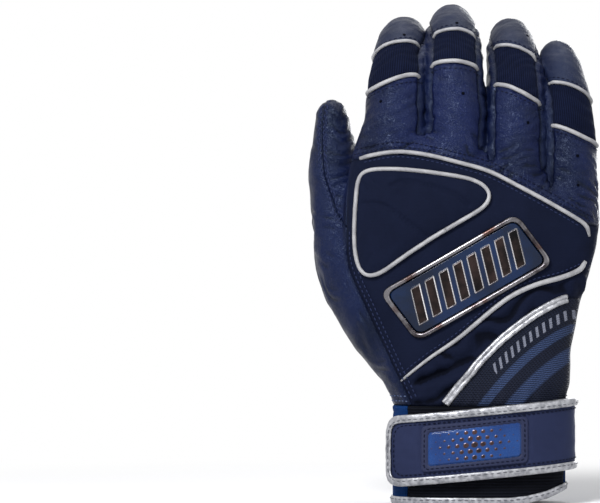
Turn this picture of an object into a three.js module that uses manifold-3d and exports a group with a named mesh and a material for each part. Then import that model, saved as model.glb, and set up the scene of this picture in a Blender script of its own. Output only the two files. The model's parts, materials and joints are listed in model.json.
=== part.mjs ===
// Batting glove for the right hand, in the shape it has when worn, standing on its hem.
// Millimetres. X runs from the thumb to the little finger, Y from the back of the hand to the
// palm, and Z from the hem to the fingertips.
import * as THREE from "three";
import { mergeVertices } from "three/addons/utils/BufferGeometryUtils.js";
import Module from "manifold-3d";

const wasm = await Module();
wasm.setup();

// Driving dimensions of the hand that fills the glove
const gloveLength = 233; // hem to the top of the middle finger
const palmWidth = 110; // across the knuckles
const palmDepth = 40; // back of the hand to the palm
const cuffHeight = 46; // hem to the wrist seam

// Walls, layers and clearances
const leather = 1.2; // hide and its thin lining
const neoprene = 0.8; // how far the cuff stands out from the leather
const gap = 0.3; // between neighbouring pieces
const pipingRadius = 0.9;
const bindingThickness = 0.6; // silver tape folded round an edge
const bindingWidth = 3;
const fastenerThickness = 0.9; // hooks, and loops
const strapThickness = 2;
const smoothing = 0.14; // facets flatter than this are merged
const overrun = 5; // how far a cutting shape runs past what it cuts

// Materials, one for each piece
const navyLeather = { color: "#1b2450", roughness: 0.48, metalness: 0 };
const navyCloth = { color: "#141a38", roughness: 0.85, metalness: 0 };
const blueNeoprene = { color: "#123a7c", roughness: 0.9, metalness: 0 };
const blackElastic = { color: "#0d0f16", roughness: 0.95, metalness: 0 };
const greyPiping = { color: "#a4a7ad", roughness: 0.45, metalness: 0.2 };
const silverTape = { color: "#b9bcc2", roughness: 0.32, metalness: 0.8 };
const chrome = { color: "#a9abb2", roughness: 0.15, metalness: 1 };
const bluePlate = { color: "#123d85", roughness: 0.25, metalness: 0.1 };
const foam = { color: "#2a2c33", roughness: 1, metalness: 0 };

// Closed meshes as solids, and back

function solid(geometry) {
  const bare = geometry.index ? geometry.clone() : geometry;
  bare.deleteAttribute("normal");
  bare.deleteAttribute("uv");
  const merged = mergeVertices(bare);
  const vertProperties = new Float32Array(merged.attributes.position.array);
  const triVerts = new Uint32Array(merged.index.array);
  return new wasm.Manifold(new wasm.Mesh({ numProp: 3, vertProperties, triVerts }));
}

function join(solids) {
  return solids.reduce((whole, each) => whole.add(each));
}

// A cut can leave loose specks of wall behind; the piece is the largest body
function largestBody(shape) {
  const bodies = shape.decompose();
  return bodies.reduce((best, each) => (each.volume() > best.volume() ? each : best));
}

const glove = new THREE.Group();

function addPiece(name, shape, finish) {
  const { vertProperties, triVerts } = largestBody(shape.simplify(smoothing)).getMesh();
  const geometry = new THREE.BufferGeometry();
  geometry.setAttribute("position", new THREE.BufferAttribute(new Float32Array(vertProperties), 3));
  geometry.setIndex(new THREE.BufferAttribute(new Uint32Array(triVerts), 1));
  geometry.computeVertexNormals();
  const mesh = new THREE.Mesh(geometry, new THREE.MeshStandardMaterial(finish));
  mesh.name = name;
  glove.add(mesh);
  return mesh;
}

// Skins between rings of points, closed at both ends
function loft(rings) {
  const count = rings[0].length;
  const points = rings.flat();
  const ends = [rings[0], rings[rings.length - 1]].map((ring) =>
    ring.reduce((sum, point) => sum.add(point), new THREE.Vector3()).divideScalar(count));
  const index = [];
  for (let r = 0; r < rings.length - 1; r += 1) {
    for (let i = 0; i < count; i += 1) {
      const a = r * count + i;
      const b = r * count + ((i + 1) % count);
      index.push(a, b, b + count, a, b + count, a + count);
    }
  }
  const last = (rings.length - 1) * count;
  for (let i = 0; i < count; i += 1) {
    const next = (i + 1) % count;
    index.push(points.length, next, i);
    index.push(points.length + 1, last + i, last + next);
  }
  const positions = [...points, ...ends].flatMap((point) => [point.x, point.y, point.z]);
  const geometry = new THREE.BufferGeometry();
  geometry.setAttribute("position", new THREE.Float32BufferAttribute(positions, 3));
  geometry.setIndex(index);
  return geometry;
}

// A value that runs smoothly through the rows of a table, by column
function follow(rows, share, column) {
  const last = rows.length - 1;
  const place = Math.min(share, 1) * last;
  const k = Math.min(Math.floor(place), last - 1);
  const t = place - k;
  const [p0, p1, p2, p3] = [-1, 0, 1, 2].map((step) =>
    rows[Math.max(0, Math.min(last, k + step))][column]);
  return 0.5 * (2 * p1 + (p2 - p0) * t + (2 * p0 - 5 * p1 + 4 * p2 - p3) * t * t
    + (3 * p1 - p0 - 3 * p2 + p3) * t * t * t);
}

// Hand without its fingers: rings that swell from the wrist to the knuckles and close
// between the fingers. Height, middle, half width, half depth and slope of each ring.
const handShares = [
  [0.0, 0.1045, 0.359, 0.53, 0],
  [0.11, 0.1045, 0.359, 0.53, 0],
  [0.197, 0.104, 0.36, 0.525, 0],
  [0.245, 0.094, 0.394, 0.52, 0],
  [0.31, 0.074, 0.418, 0.51, 0],
  [0.385, 0.066, 0.458, 0.5, 0],
  [0.47, 0.066, 0.51, 0.49, 0],
  [0.55, 0.07, 0.538, 0.465, -0.05],
  [0.62, 0.088, 0.53, 0.415, -0.17],
  [0.667, 0.105, 0.505, 0.33, -0.3],
  [0.695, 0.109, 0.47, 0.21, -0.35],
  [0.71, 0.109, 0.43, 0.09, -0.35],
];
const handRings = 11;
const handSides = 26;
const handSquareness = 2.5; // exponent of the rounded section

function rounded(angle, exponent) {
  const bend = (value) => Math.sign(value) * Math.abs(value) ** (2 / exponent);
  return [bend(Math.sin(angle)), bend(Math.cos(angle))];
}

function hand(offset) {
  const rings = [];
  for (let r = 0; r <= handRings; r += 1) {
    const share = r / handRings;
    const height = follow(handShares, share, 0) * gloveLength;
    const middle = follow(handShares, share, 1) * palmWidth;
    const halfWidth = follow(handShares, share, 2) * palmWidth + offset;
    const halfDepth = Math.max(follow(handShares, share, 3) * palmDepth + offset, leather);
    const slope = follow(handShares, share, 4);
    const lift = offset * share ** 4;
    const ring = [];
    for (let i = 0; i < handSides; i += 1) {
      const [side, back] = rounded(((i + 0.5) / handSides) * 2 * Math.PI, handSquareness);
      const x = middle + side * halfWidth;
      ring.push(new THREE.Vector3(x, -back * halfDepth, height + lift + slope * (x - middle)));
    }
    rings.push(ring);
  }
  rings.unshift(rings[0].map((point) => new THREE.Vector3(point.x, point.y, -overrun)));
  return solid(loft(rings));
}

// Fingers: places in shares of the hand's width, depth and length; bones, flex panel and its
// slope in shares of the length; half width and half depth in shares of the width. Each bone
// is tilted further towards the palm, and the whole finger is turned about Z by its roll.
const fingerShares = {
  index: {
    root: [-0.259, -0.06, 0.648], bones: [0.193, 0.1116, 0.0644], half: [0.1264, 0.1182],
    flex: [0.1845, 0.2661], flexSlope: 0.015, tilts: [11, 44, 68], lean: 0.02, roll: -6,
  },
  middle: {
    root: [0.004, -0.05, 0.652], bones: [0.206, 0.1202, 0.0687], half: [0.1273, 0.12],
    flex: [0.2103, 0.2918], flexSlope: -0.002, tilts: [11, 44, 68], lean: 0, roll: 0,
  },
  ring: {
    root: [0.262, -0.05, 0.627], bones: [0.1974, 0.1159, 0.0687], half: [0.1227, 0.1164],
    flex: [0.1845, 0.279], flexSlope: -0.0193, tilts: [11, 41, 64], lean: 0.015, roll: 3,
  },
  little: {
    root: [0.501, -0.04, 0.575], bones: [0.1888, 0.0987, 0.0687], half: [0.1118, 0.1073],
    flex: [0.1588, 0.2489], flexSlope: -0.0215, tilts: [9, 30, 50], lean: 0, roll: 9,
  },
};
const fingers = Object.fromEntries(Object.entries(fingerShares).map(([name, share]) => [name, {
  root: new THREE.Vector3(
    share.root[0] * palmWidth, share.root[1] * palmDepth, share.root[2] * gloveLength),
  bones: share.bones.map((bone) => bone * gloveLength),
  reach: share.bones.reduce((sum, bone) => sum + bone) * gloveLength,
  halfWidth: share.half[0] * palmWidth,
  halfDepth: share.half[1] * palmWidth,
  flexFrom: share.flex[0] * gloveLength,
  flexTo: share.flex[1] * gloveLength,
  flexSlope: share.flexSlope * gloveLength,
  tilts: share.tilts,
  lean: share.lean,
  roll: THREE.MathUtils.degToRad(share.roll),
}]));
const digitSides = 12;
const digitRings = 7;
const digitRoot = 16; // how far a digit's form starts inside the hand
const rootShare = 0.78; // width where it starts
const jointBlend = 9; // half the stretch over which a joint bends
const tipShare = 0.72; // width of the last ring before the rounded tip
const tipRounding = 11; // length of the rounded tip
const bendSteps = 60; // short straight steps that make up a finger's bent middle line

// Ease from 0 to 1 over a stretch
function ease(value) {
  const t = Math.max(0, Math.min(1, value));
  return t * t * (3 - 2 * t);
}

// Centre and directions of a finger at a distance along it from the knuckle
function fingerFrame(finger, distance) {
  const [first, second] = finger.bones;
  const { roll, tilts, reach } = finger;
  const bend = (s, joint) => ease((s - joint + jointBlend) / (2 * jointBlend));
  const tiltAt = (s) => THREE.MathUtils.degToRad(tilts[0]
    + (tilts[1] - tilts[0]) * bend(s, first)
    + (tilts[2] - tilts[1]) * bend(s, first + second));
  const headingAt = (s) => new THREE.Vector3(
    finger.lean - Math.sin(roll) * Math.sin(tiltAt(s)),
    Math.cos(roll) * Math.sin(tiltAt(s)),
    Math.cos(tiltAt(s)),
  ).normalize();
  const centre = finger.root.clone();
  const step = distance / bendSteps;
  for (let k = 0; k < bendSteps; k += 1) {
    centre.addScaledVector(headingAt((k + 0.5) * step), step);
  }
  const heading = headingAt(distance);
  const side = new THREE.Vector3(Math.cos(roll), Math.sin(roll), 0);
  side.addScaledVector(heading, -side.dot(heading)).normalize();
  const back = new THREE.Vector3().crossVectors(side, heading);
  const along = Math.max(0, distance / reach);
  const rooting = (1 - rootShare) * Math.max(0, -distance / digitRoot);
  const narrowing = 1 - (1 - tipShare) * along ** 3 - rooting;
  return { centre, heading, side, back,
    halfWidth: finger.halfWidth * narrowing, halfDepth: finger.halfDepth * narrowing };
}

// Thumb: rows of across, depth and height of its middle line, then half width and half depth
const thumbShares = [
  [-0.08, 0.02, 0.2, 0.1, 0.28],
  [-0.2, 0.09, 0.3, 0.155, 0.4],
  [-0.33, 0.19, 0.39, 0.168, 0.45],
  [-0.42, 0.28, 0.47, 0.158, 0.42],
  [-0.475, 0.36, 0.55, 0.136, 0.37],
  [-0.508, 0.41, 0.63, 0.113, 0.31],
  [-0.507, 0.45, 0.7, 0.1, 0.265],
  [-0.515, 0.49, 0.765, 0.074, 0.2],
];
const thumbTipRounding = 11;
const headingStep = 0.01; // share of the thumb over which its direction is measured

function thumbFrame(distanceShare) {
  const at = (share) => new THREE.Vector3(
    follow(thumbShares, share, 0) * palmWidth,
    follow(thumbShares, share, 1) * palmDepth,
    follow(thumbShares, share, 2) * gloveLength,
  );
  const share = Math.min(distanceShare, 1);
  const centre = at(share);
  const from = Math.max(0, Math.min(share, 1 - headingStep));
  const heading = at(from + headingStep).sub(at(from)).normalize();
  const side = new THREE.Vector3(1, 0, 0).addScaledVector(heading, -heading.x).normalize();
  const back = new THREE.Vector3().crossVectors(side, heading);
  return { centre, heading, side, back,
    halfWidth: follow(thumbShares, share, 3) * palmWidth,
    halfDepth: follow(thumbShares, share, 4) * palmDepth };
}

// Ring of points round a frame; scale draws it in towards the rounded tip
function ringAt(frame, offset, scale, shift) {
  const ring = [];
  for (let i = 0; i < digitSides; i += 1) {
    const angle = ((i + 0.5) / digitSides) * 2 * Math.PI;
    ring.push(frame.centre.clone()
      .addScaledVector(frame.heading, shift)
      .addScaledVector(frame.side, Math.sin(angle) * (frame.halfWidth + offset) * scale)
      .addScaledVector(frame.back, Math.cos(angle) * (frame.halfDepth + offset) * scale));
  }
  return ring;
}

// Turns of the rounded tip, in degrees from its foot to near its pole
const tipTurns = [40, 75];

function tipRings(frame, offset, rounding) {
  return tipTurns.map((turn) => {
    const angle = THREE.MathUtils.degToRad(turn);
    return ringAt(frame, offset, Math.cos(angle), Math.sin(angle) * (rounding + offset));
  });
}

function fingerForm(finger, offset) {
  const rings = [];
  for (let r = 0; r <= digitRings; r += 1) {
    const distance = -digitRoot + (r / digitRings) * (finger.reach + digitRoot);
    rings.push(ringAt(fingerFrame(finger, distance), offset, 1, 0));
  }
  rings.push(...tipRings(fingerFrame(finger, finger.reach), offset, tipRounding));
  return solid(loft(rings));
}

function thumbForm(offset) {
  const rings = [];
  for (let r = 0; r <= digitRings; r += 1) {
    rings.push(ringAt(thumbFrame(r / digitRings), offset, 1, 0));
  }
  rings.push(...tipRings(thumbFrame(1), offset, thumbTipRounding));
  return solid(loft(rings));
}

// The whole hand, grown by an offset, and the wall of the glove round it
function filledHand(offset) {
  const forms = Object.values(fingers).map((finger) => fingerForm(finger, offset));
  return join([hand(offset), thumbForm(offset), ...forms]);
}

const outside = filledHand(0);
const inside = filledHand(-leather);

// Outlines seen from the back of the hand, as slabs through the glove

// A place on the back of the hand, from shares of its width and length
function place([across, height]) {
  return new THREE.Vector2(across * palmWidth, height * gloveLength);
}

// Prism of an outline between two depths, each a number or a function of height
function slab(points, near, far) {
  const geometry = new THREE.ExtrudeGeometry(new THREE.Shape(points), { bevelEnabled: false });
  const position = geometry.attributes.position;
  for (let i = 0; i < position.count; i += 1) {
    const height = position.getY(i);
    const limit = position.getZ(i) > 0 ? near : far;
    const depth = typeof limit === "function" ? limit(height) : limit;
    position.setXYZ(i, position.getX(i), depth, height);
  }
  return solid(geometry);
}

// Outline moved outwards by a distance, or inwards where it is negative
const sharpest = 0.5; // a corner moves at most twice the distance
function grow(points, distance) {
  const direction = THREE.ShapeUtils.isClockWise(points) ? -distance : distance;
  return points.map((point, i) => {
    const before = points[(i + points.length - 1) % points.length];
    const after = points[(i + 1) % points.length];
    const a = point.clone().sub(before).normalize();
    const b = after.clone().sub(point).normalize();
    const normal = new THREE.Vector2(a.y + b.y, -a.x - b.x).normalize();
    const reach = direction / Math.max(sharpest, normal.dot(new THREE.Vector2(a.y, -a.x)));
    return point.clone().addScaledVector(normal, reach);
  });
}

// Outline with its corners rounded
function roundCorners(points, radius, steps = 4) {
  return points.flatMap((point, i) => {
    const before = points[(i + points.length - 1) % points.length];
    const after = points[(i + 1) % points.length];
    const from = point.clone().lerp(before, Math.min(0.5, radius / point.distanceTo(before)));
    const to = point.clone().lerp(after, Math.min(0.5, radius / point.distanceTo(after)));
    return new THREE.QuadraticBezierCurve(from, point, to).getPoints(steps);
  });
}

// Smooth line through places
function line(shares, steps) {
  return new THREE.SplineCurve(shares.map(place)).getSpacedPoints(steps);
}

const farAway = gloveLength; // beyond every side of the glove
const corner = (x, z) => new THREE.Vector2(x, z);

function rectangle(left, bottom, right, top) {
  return [corner(left, bottom), corner(right, bottom), corner(right, top), corner(left, top)];
}

// Seams of the hand, in shares of its width and length
const knuckleSeamShares = [
  [-0.46, 0.682], [-0.36, 0.694], [-0.244, 0.702], [-0.107, 0.694], [0.06, 0.674],
  [0.166, 0.657], [0.334, 0.6155], [0.4445, 0.587], [0.555, 0.557],
];
const lowerSeamShares = [
  [-0.2332, 0.2447], [-0.107, 0.293], [0.0045, 0.329], [0.1155, 0.373], [0.222, 0.412],
  [0.334, 0.438], [0.4445, 0.452], [0.53, 0.468],
];
const diagonalSeamShares = [
  [-0.075, 0.182], [0.03, 0.246], [0.1155, 0.293], [0.222, 0.341], [0.334, 0.379],
  [0.43, 0.404], [0.47, 0.41],
];
const sideSeamShares = [
  [-0.46, 0.55], [-0.449, 0.474], [-0.37, 0.385], [-0.282, 0.293], [-0.185, 0.197],
];
const palmSeamShares = [
  [-0.56, 0.86], [-0.566, 0.77], [-0.571, 0.623], [-0.5236, 0.492], [-0.43, 0.363],
  [-0.318, 0.2987], [-0.2245, 0.234], [-0.19, 0.18],
];
const zigzagShares = [
  [-0.53, 0.86], [-0.555, 0.775], [-0.56, 0.718], [-0.545, 0.65], [-0.515, 0.61],
  [-0.5, 0.585], [-0.465, 0.555],
];
const seamSteps = 12;
const knuckleSeam = line(knuckleSeamShares, seamSteps);
const lowerSeam = line(lowerSeamShares, seamSteps);
const diagonalSeam = line(diagonalSeamShares, seamSteps);
const sideSeam = line(sideSeamShares, seamSteps / 2);
const palmSeam = line(palmSeamShares, seamSteps);
const zigzagSeam = line(zigzagShares, seamSteps * 2 / 3);

// Depth of the thumb's middle, where its back and front meet: a line through two of its places
const [thumbLow, thumbHigh] = [0.3, 0.9].map((share) => thumbFrame(share).centre);
function thumbMiddle(height) {
  const slope = (thumbHigh.y - thumbLow.y) / (thumbHigh.z - thumbLow.z);
  return thumbLow.y + slope * (height - thumbLow.z);
}

// Sector of a finger: between two angles round it and two distances along it
const sectorSides = 8;
const sectorStep = 10; // between its rings
const sectorMargin = 0.35; // past the skin
const sectorSpread = 1.2; // a spread sector opens a little more than its arc needs
const leastTip = 0.05; // share of the width that is left at the very tip
const leastRound = 0.4; // share of the width at which the tip's own opening stops growing

function sector(finger, { middle, half, from, to, slope = 0, tipSlope = slope, spread = 0 }) {
  const { reach } = finger;
  const margin = sectorMargin + spread;
  const first = from - spread;
  const last = to + spread;
  const straight = Math.min(last, reach);
  const steps = Math.max(2, Math.ceil((straight - first) / sectorStep));
  const stops = [];
  for (let r = 0; r <= steps; r += 1) {
    stops.push(first + (r / steps) * (straight - first));
  }
  const roundedStops = tipTurns.map((turn) =>
    reach + Math.sin(THREE.MathUtils.degToRad(turn)) * (tipRounding + margin));
  if (last > reach) {
    stops.push(...roundedStops.filter((stop) => stop < last), last);
  }
  const middleAngle = THREE.MathUtils.degToRad(middle);
  const rings = stops.map((distance) => {
    const onward = (distance - first) / (last - first);
    const pointAt = (turn, size) => {
      const angle = middleAngle + turn;
      const tilt = slope + (tipSlope - slope) * onward;
      const along = distance + tilt * Math.sin(angle) * size;
      const frame = fingerFrame(finger, Math.min(along, reach));
      const past = Math.max(0, along - reach) / (tipRounding + margin);
      const drawn = size * Math.max(leastTip, Math.sqrt(Math.max(0, 1 - past ** 2)));
      return frame.centre.clone()
        .addScaledVector(frame.heading, past * (tipRounding + margin))
        .addScaledVector(frame.side, Math.sin(angle) * (frame.halfWidth + margin) * drawn)
        .addScaledVector(frame.back, Math.cos(angle) * (frame.halfDepth + margin) * drawn);
    };
    const beyondReach = Math.max(0, distance - reach) / (tipRounding + margin);
    const roundWidth = fingerFrame(finger, Math.min(distance, reach)).halfWidth
      * Math.max(leastRound, Math.sqrt(Math.max(0, 1 - beyondReach ** 2)));
    const halfAngle = THREE.MathUtils.degToRad(half(distance))
      + (sectorSpread * spread) / roundWidth;
    const ring = [pointAt(Math.PI, spread / finger.halfWidth)];
    for (let i = 0; i <= sectorSides; i += 1) {
      ring.push(pointAt((i / sectorSides * 2 - 1) * halfAngle, 1));
    }
    return ring;
  });
  return solid(loft(rings));
}

// The wall is cut piece by piece; each cut leaves the gap beside what it takes
let wall = outside.subtract(inside);

function take(region, grownRegion) {
  const piece = wall.intersect(region);
  wall = wall.subtract(grownRegion);
  return piece;
}

function takeSlab(points, near, far) {
  const deeper = typeof far === "function" ? (height) => far(height) + gap : far + gap;
  return take(slab(points, near, far), slab(grow(points, gap), near, deeper));
}

// Leather and cloth end at the wrist seam
const belowWrist = rectangle(-farAway, -farAway, farAway, cuffHeight);
wall = wall.subtract(slab(belowWrist, -farAway, farAway));

// Fourchettes: the strips down the facing sides of two fingers, joined by the web between them
const stripHalf = 31; // degrees, half the strip's arc on the finger
const stripTip = 3; // degrees, where the strip runs out
const stripTaper = 0.4; // share of the finger over which it narrows
const tipHalfway = 0.5; // share of the rounded tip that it reaches
const webWidth = 9;
const webHeight = 9;
const webDepth = 7;
const crotches = [
  {
    name: "index_middle_fourchette",
    fingers: [fingers.index, fingers.middle], shares: [-0.13, 0.747], from: 0.0944,
  },
  {
    name: "middle_ring_fourchette",
    fingers: [fingers.middle, fingers.ring], shares: [0.138, 0.712], from: 0.0601,
  },
  {
    name: "ring_little_fourchette",
    fingers: [fingers.ring, fingers.little], shares: [0.388, 0.662], from: 0.0429,
  },
];

function strip(finger, middle, from, spread) {
  const end = finger.reach + tipRounding * tipHalfway;
  const half = (distance) => stripTip
    + (stripHalf - stripTip) * ease((end - distance) / (finger.reach * stripTaper));
  return sector(finger, { middle, half, from, to: end, spread });
}

for (const crotch of crotches) {
  const { x, y } = place(crotch.shares);
  const from = crotch.from * gloveLength;
  const outline = rectangle(
    x - webWidth / 2, y - webHeight / 2, x + webWidth / 2, y + webHeight / 2);
  const region = (spread) => join([
    strip(crotch.fingers[0], 90, from, spread),
    strip(crotch.fingers[1], -90, from, spread),
    slab(grow(outline, spread), -webDepth - spread, webDepth + spread),
  ]);
  addPiece(crotch.name, take(region(0), region(gap)), navyLeather);
}

// Finger backs: a leather tip over the nail and a ribbed knit panel over the joint
const backHalf = () => 90; // degrees; the backs end at the middle of the finger's sides

function fingerBack(finger, from, to, spread, tipSlope = finger.flexSlope) {
  const slope = finger.flexSlope;
  return sector(finger, { middle: 0, half: backHalf, from, to, slope, tipSlope, spread });
}

for (const [name, finger] of Object.entries(fingers)) {
  const { flexFrom, flexTo, reach } = finger;
  const tip = (spread) => fingerBack(finger, flexTo, reach + tipRounding, spread, 0);
  addPiece(`${name}_tip_back`, take(tip(0), tip(gap)), navyLeather);
  const flex = (spread) => fingerBack(finger, flexFrom, flexTo + spread - gap, spread);
  addPiece(`${name}_flex_panel`, take(flex(0), flex(gap)), navyCloth);
}

// Knuckle leather: over the knuckles and up the first bone of each finger
const sideDepth = 0; // depth of the side seams
const seamEnd = knuckleSeam.at(-1);
const aboveKnuckles = [
  ...knuckleSeam,
  corner(seamEnd.x + palmWidth / 8, seamEnd.y - overrun),
  corner(farAway, gloveLength),
  ...[[-0.44, 0.8], [-0.46, 0.7]].map(place),
];

function knuckleRegion(spread) {
  const backs = Object.values(fingers).map((finger) =>
    fingerBack(finger, digitRoot, finger.flexFrom - gap, spread));
  return join([slab(grow(aboveKnuckles, spread), -farAway, sideDepth + spread), ...backs]);
}

addPiece("knuckle_leather", take(knuckleRegion(0), knuckleRegion(gap)), navyLeather);

// Back panel: stretch cloth between the knuckle seam and the lower seam
const backOutline = [
  ...lowerSeam,
  corner(farAway, lowerSeam.at(-1).y + overrun),
  corner(farAway, seamEnd.y),
  ...[...knuckleSeam].reverse(),
  ...sideSeam.filter((point) => point.y > lowerSeam[0].y + gap),
];
addPiece("back_panel", takeSlab(backOutline, -farAway, sideDepth), navyCloth);

// Panels of the wrist: plain cloth, and the woven strap that runs up to the little-finger side
const wristOutline = [
  ...diagonalSeam,
  corner(farAway, diagonalSeam.at(-1).y),
  corner(farAway, lowerSeam.at(-1).y + overrun),
  ...[...lowerSeam].reverse(),
  ...sideSeam.filter((point) => point.y < lowerSeam[0].y - gap),
];
addPiece("wrist_back_panel", takeSlab(wristOutline, -farAway, sideDepth), navyCloth);
const diagonalOutline = [
  ...diagonalSeam,
  corner(farAway, diagonalSeam.at(-1).y),
  corner(farAway, 0),
  corner(diagonalSeam[0].x, 0),
];
addPiece("diagonal_strap", takeSlab(diagonalOutline, -farAway, sideDepth), navyCloth);

// Thumb: a patch towards the index finger, and one leather round its outer side
const patchInnerShares = [[-0.41, 0.55], [-0.41, 0.68], [-0.39, 0.86]];
const patchOutline = [...zigzagSeam, ...patchInnerShares.map(place)];
addPiece("thumb_patch", takeSlab(patchOutline, -farAway, thumbMiddle), navyLeather);

// Outline of all that lies on the thumb's side of a seam
function beyond(seam) {
  return [...seam, corner(seam.at(-1).x, 0), corner(-farAway, 0), corner(-farAway, zigzagSeam[0].y)];
}

function thumbRegion(spread) {
  const backSide = grow(beyond([...zigzagSeam, ...sideSeam]), spread);
  const palmSide = grow(beyond(palmSeam), spread);
  return join([
    slab(backSide, -farAway, (height) => thumbMiddle(height) + spread),
    slab(palmSide, (height) => thumbMiddle(height) - gap, farAway),
  ]);
}

addPiece("thumb_outer_leather", take(thumbRegion(0), thumbRegion(gap)), navyLeather);

// Palm leather: one hide, what is left of the wall
addPiece("palm_leather", wall, navyLeather);

// Layers on the skin: an outline between two offsets
const backDepths = [-farAway, sideDepth];

function layer(grown, points, inner, outer, [near, far] = backDepths) {
  return grown(outer).subtract(grown(inner)).intersect(slab(points, near, far));
}

// Cuff: blue neoprene on the palm side and black elastic behind, with a slit at the
// little-finger edge and a silver binding round the hem, which rises towards that edge
const hemShares = [[-2, 0], [0.22, 0], [0.3, 0.004], [0.38, 0.013], [0.46, 0.028], [2, 0.05]];
const hemLine = hemShares.map(place);
const slitNear = -7;
const slitWidth = 3;
const slitShare = 0.25; // across; the slit is beyond it
const cuffSeamShare = -0.2; // where the neoprene meets the elastic on the thumb side

function hemBand(low, high) {
  const lift = (distance) => hemLine.map((point) => corner(point.x, point.y + distance));
  return slab([...lift(low), ...lift(high).reverse()], -farAway, farAway);
}

const cuffSeam = cuffSeamShare * palmWidth;
const cuffWall = hand(neoprene).subtract(hand(-leather))
  .subtract(slab(rectangle(-farAway, cuffHeight - gap, farAway, 2 * farAway), -farAway, farAway))
  .subtract(hemBand(-2 * overrun, bindingThickness + gap));
const backRegion = rectangle(cuffSeam, -overrun, farAway, cuffHeight);
addPiece("cuff_back",
  cuffWall.intersect(slab(backRegion, -farAway, slitNear)), blackElastic);
addPiece("cuff_palm", cuffWall
  .subtract(slab(grow(backRegion, gap), -farAway, slitNear + slitWidth)), blueNeoprene);
const fold = bindingThickness + gap; // a folded tape stands this far from what it wraps
const hemLegs = hand(neoprene + fold).subtract(hand(-leather - fold));
const hemGroove = hand(neoprene + gap).subtract(hand(-leather - gap));
const slit = slab(
  rectangle(slitShare * palmWidth, -overrun, farAway, cuffHeight), slitNear, slitNear + slitWidth);
addPiece("hem_binding", hemLegs.intersect(hemBand(0, bindingWidth + bindingThickness))
  .subtract(hemGroove.intersect(hemBand(bindingThickness, 2 * bindingWidth)))
  .subtract(slit), silverTape);

// Palm patch: a moulded plate in a rim, on the neoprene
const palmPatchShares = [-0.018, 0.081]; // its lower left corner
const palmPatchWidth = 42;
const palmPatchHeight = 15.5;
const palmPatchRim = 1.5;
const palmPatchCorner = 3;
const palmPatchThickness = 1;
const palmPlateThickness = 0.7;

const palmPatchPlace = place(palmPatchShares);
const palmPatchOutline = roundCorners(rectangle(
  palmPatchPlace.x, palmPatchPlace.y,
  palmPatchPlace.x + palmPatchWidth, palmPatchPlace.y + palmPatchHeight,
), palmPatchCorner);
const palmDepths = [sideDepth, farAway];
const palmPatchBase = neoprene + gap;
addPiece("palm_patch_rim",
  layer(hand, palmPatchOutline, palmPatchBase, palmPatchBase + palmPatchThickness, palmDepths)
    .subtract(slab(grow(palmPatchOutline, -palmPatchRim), ...palmDepths)), silverTape);
addPiece("palm_patch_plate",
  layer(hand, grow(palmPatchOutline, -palmPatchRim - gap),
    palmPatchBase, palmPatchBase + palmPlateThickness, palmDepths), bluePlate);

// Wrist strap: closes over the back of the cuff and is sewn on at the little-finger edge
const strapTipShare = -0.241;
const strapBottom = 8;
const strapWidth = 33;
const strapRise = 0.11; // slope of the strap across the wrist
const strapCorner = 9;
const strapRoot = 0; // depth at which the strap leaves its sewn end
const loopOuter = neoprene + gap + fastenerThickness;
const hookOuter = loopOuter + gap + fastenerThickness;
const strapInner = hookOuter + gap;
const strapOuter = strapInner + strapThickness;

// Rectangle that rises to the right like the strap
function slanted(left, bottom, right, top) {
  return rectangle(left, bottom, right, top)
    .map((point) => corner(point.x, point.y + strapRise * (point.x - left)));
}

const strapTip = strapTipShare * palmWidth;
const strapShape = roundCorners(
  slanted(strapTip, strapBottom, palmWidth, strapBottom + strapWidth), strapCorner);
addPiece("strap", layer(
  hand, grow(strapShape, -fold), strapInner, strapOuter, [-farAway, strapRoot]), navyCloth);

const strapLegs = layer(
  hand, strapShape, strapInner - fold, strapOuter + fold, [-farAway, strapRoot - bindingWidth]);
const strapGroove = layer(
  hand, grow(strapShape, -bindingThickness), strapInner - gap, strapOuter + gap);
const strapMiddle = slab(grow(strapShape, -bindingWidth - bindingThickness), -farAway, farAway);
addPiece("strap_binding", strapLegs.subtract(strapGroove).subtract(strapMiddle), silverTape);

// Patch in the middle of the strap
const strapPatchShare = -0.115; // its left end
const strapPatchWidth = 43;
const strapPatchHeight = 21.5;
const strapPatchCorner = 2.5;
const strapPatchThickness = 0.8;

const strapPatchLeft = strapPatchShare * palmWidth;
const strapPatchLow = strapBottom + (strapWidth - strapPatchHeight) / 2
  + strapRise * (strapPatchLeft - strapTip);
const strapPatchOutline = roundCorners(slanted(
  strapPatchLeft, strapPatchLow,
  strapPatchLeft + strapPatchWidth, strapPatchLow + strapPatchHeight,
), strapPatchCorner);
addPiece("strap_patch", layer(
  hand, strapPatchOutline, strapOuter + gap, strapOuter + gap + strapPatchThickness), bluePlate);

// Hooks behind the strap's tip, and the loops that they grip on the cuff
const fastenerInset = bindingWidth + fold;
const hookLength = 26;
const loopLength = 40;
const loopInset = 1.5; // from the strap's edges
addPiece("hook_patch", layer(hand, grow(strapShape, -fastenerInset), loopOuter + gap, hookOuter)
  .subtract(slab(
    rectangle(strapTip + hookLength, -farAway, farAway, farAway), ...backDepths)), blackElastic);
addPiece("loop_patch", layer(hand, slanted(
  strapTip + fastenerInset + loopInset, strapBottom + loopInset,
  strapTip + fastenerInset + loopLength, strapBottom + strapWidth - loopInset,
), neoprene + gap, loopOuter), blackElastic);

// Sewn root of the strap, on the cuff at the little-finger edge, up to the wrist seam
const rootShareAcross = 0.25; // the root is beyond it
const rootLength = 6;
const rootOverlap = 1.5; // how far it reaches under the strap
const rootLeft = rootShareAcross * palmWidth;
const rootLow = strapBottom + strapRise * (rootLeft - strapTip) + fold;
addPiece("strap_root", layer(
  hand, slanted(rootLeft, rootLow, palmWidth, rootLow + strapWidth),
  neoprene + gap, strapInner - gap, [strapRoot - rootOverlap, strapRoot + rootLength],
).subtract(slab(
  rectangle(rootLeft, cuffHeight - gap, farAway, farAway), -farAway, farAway)), navyCloth);

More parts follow.
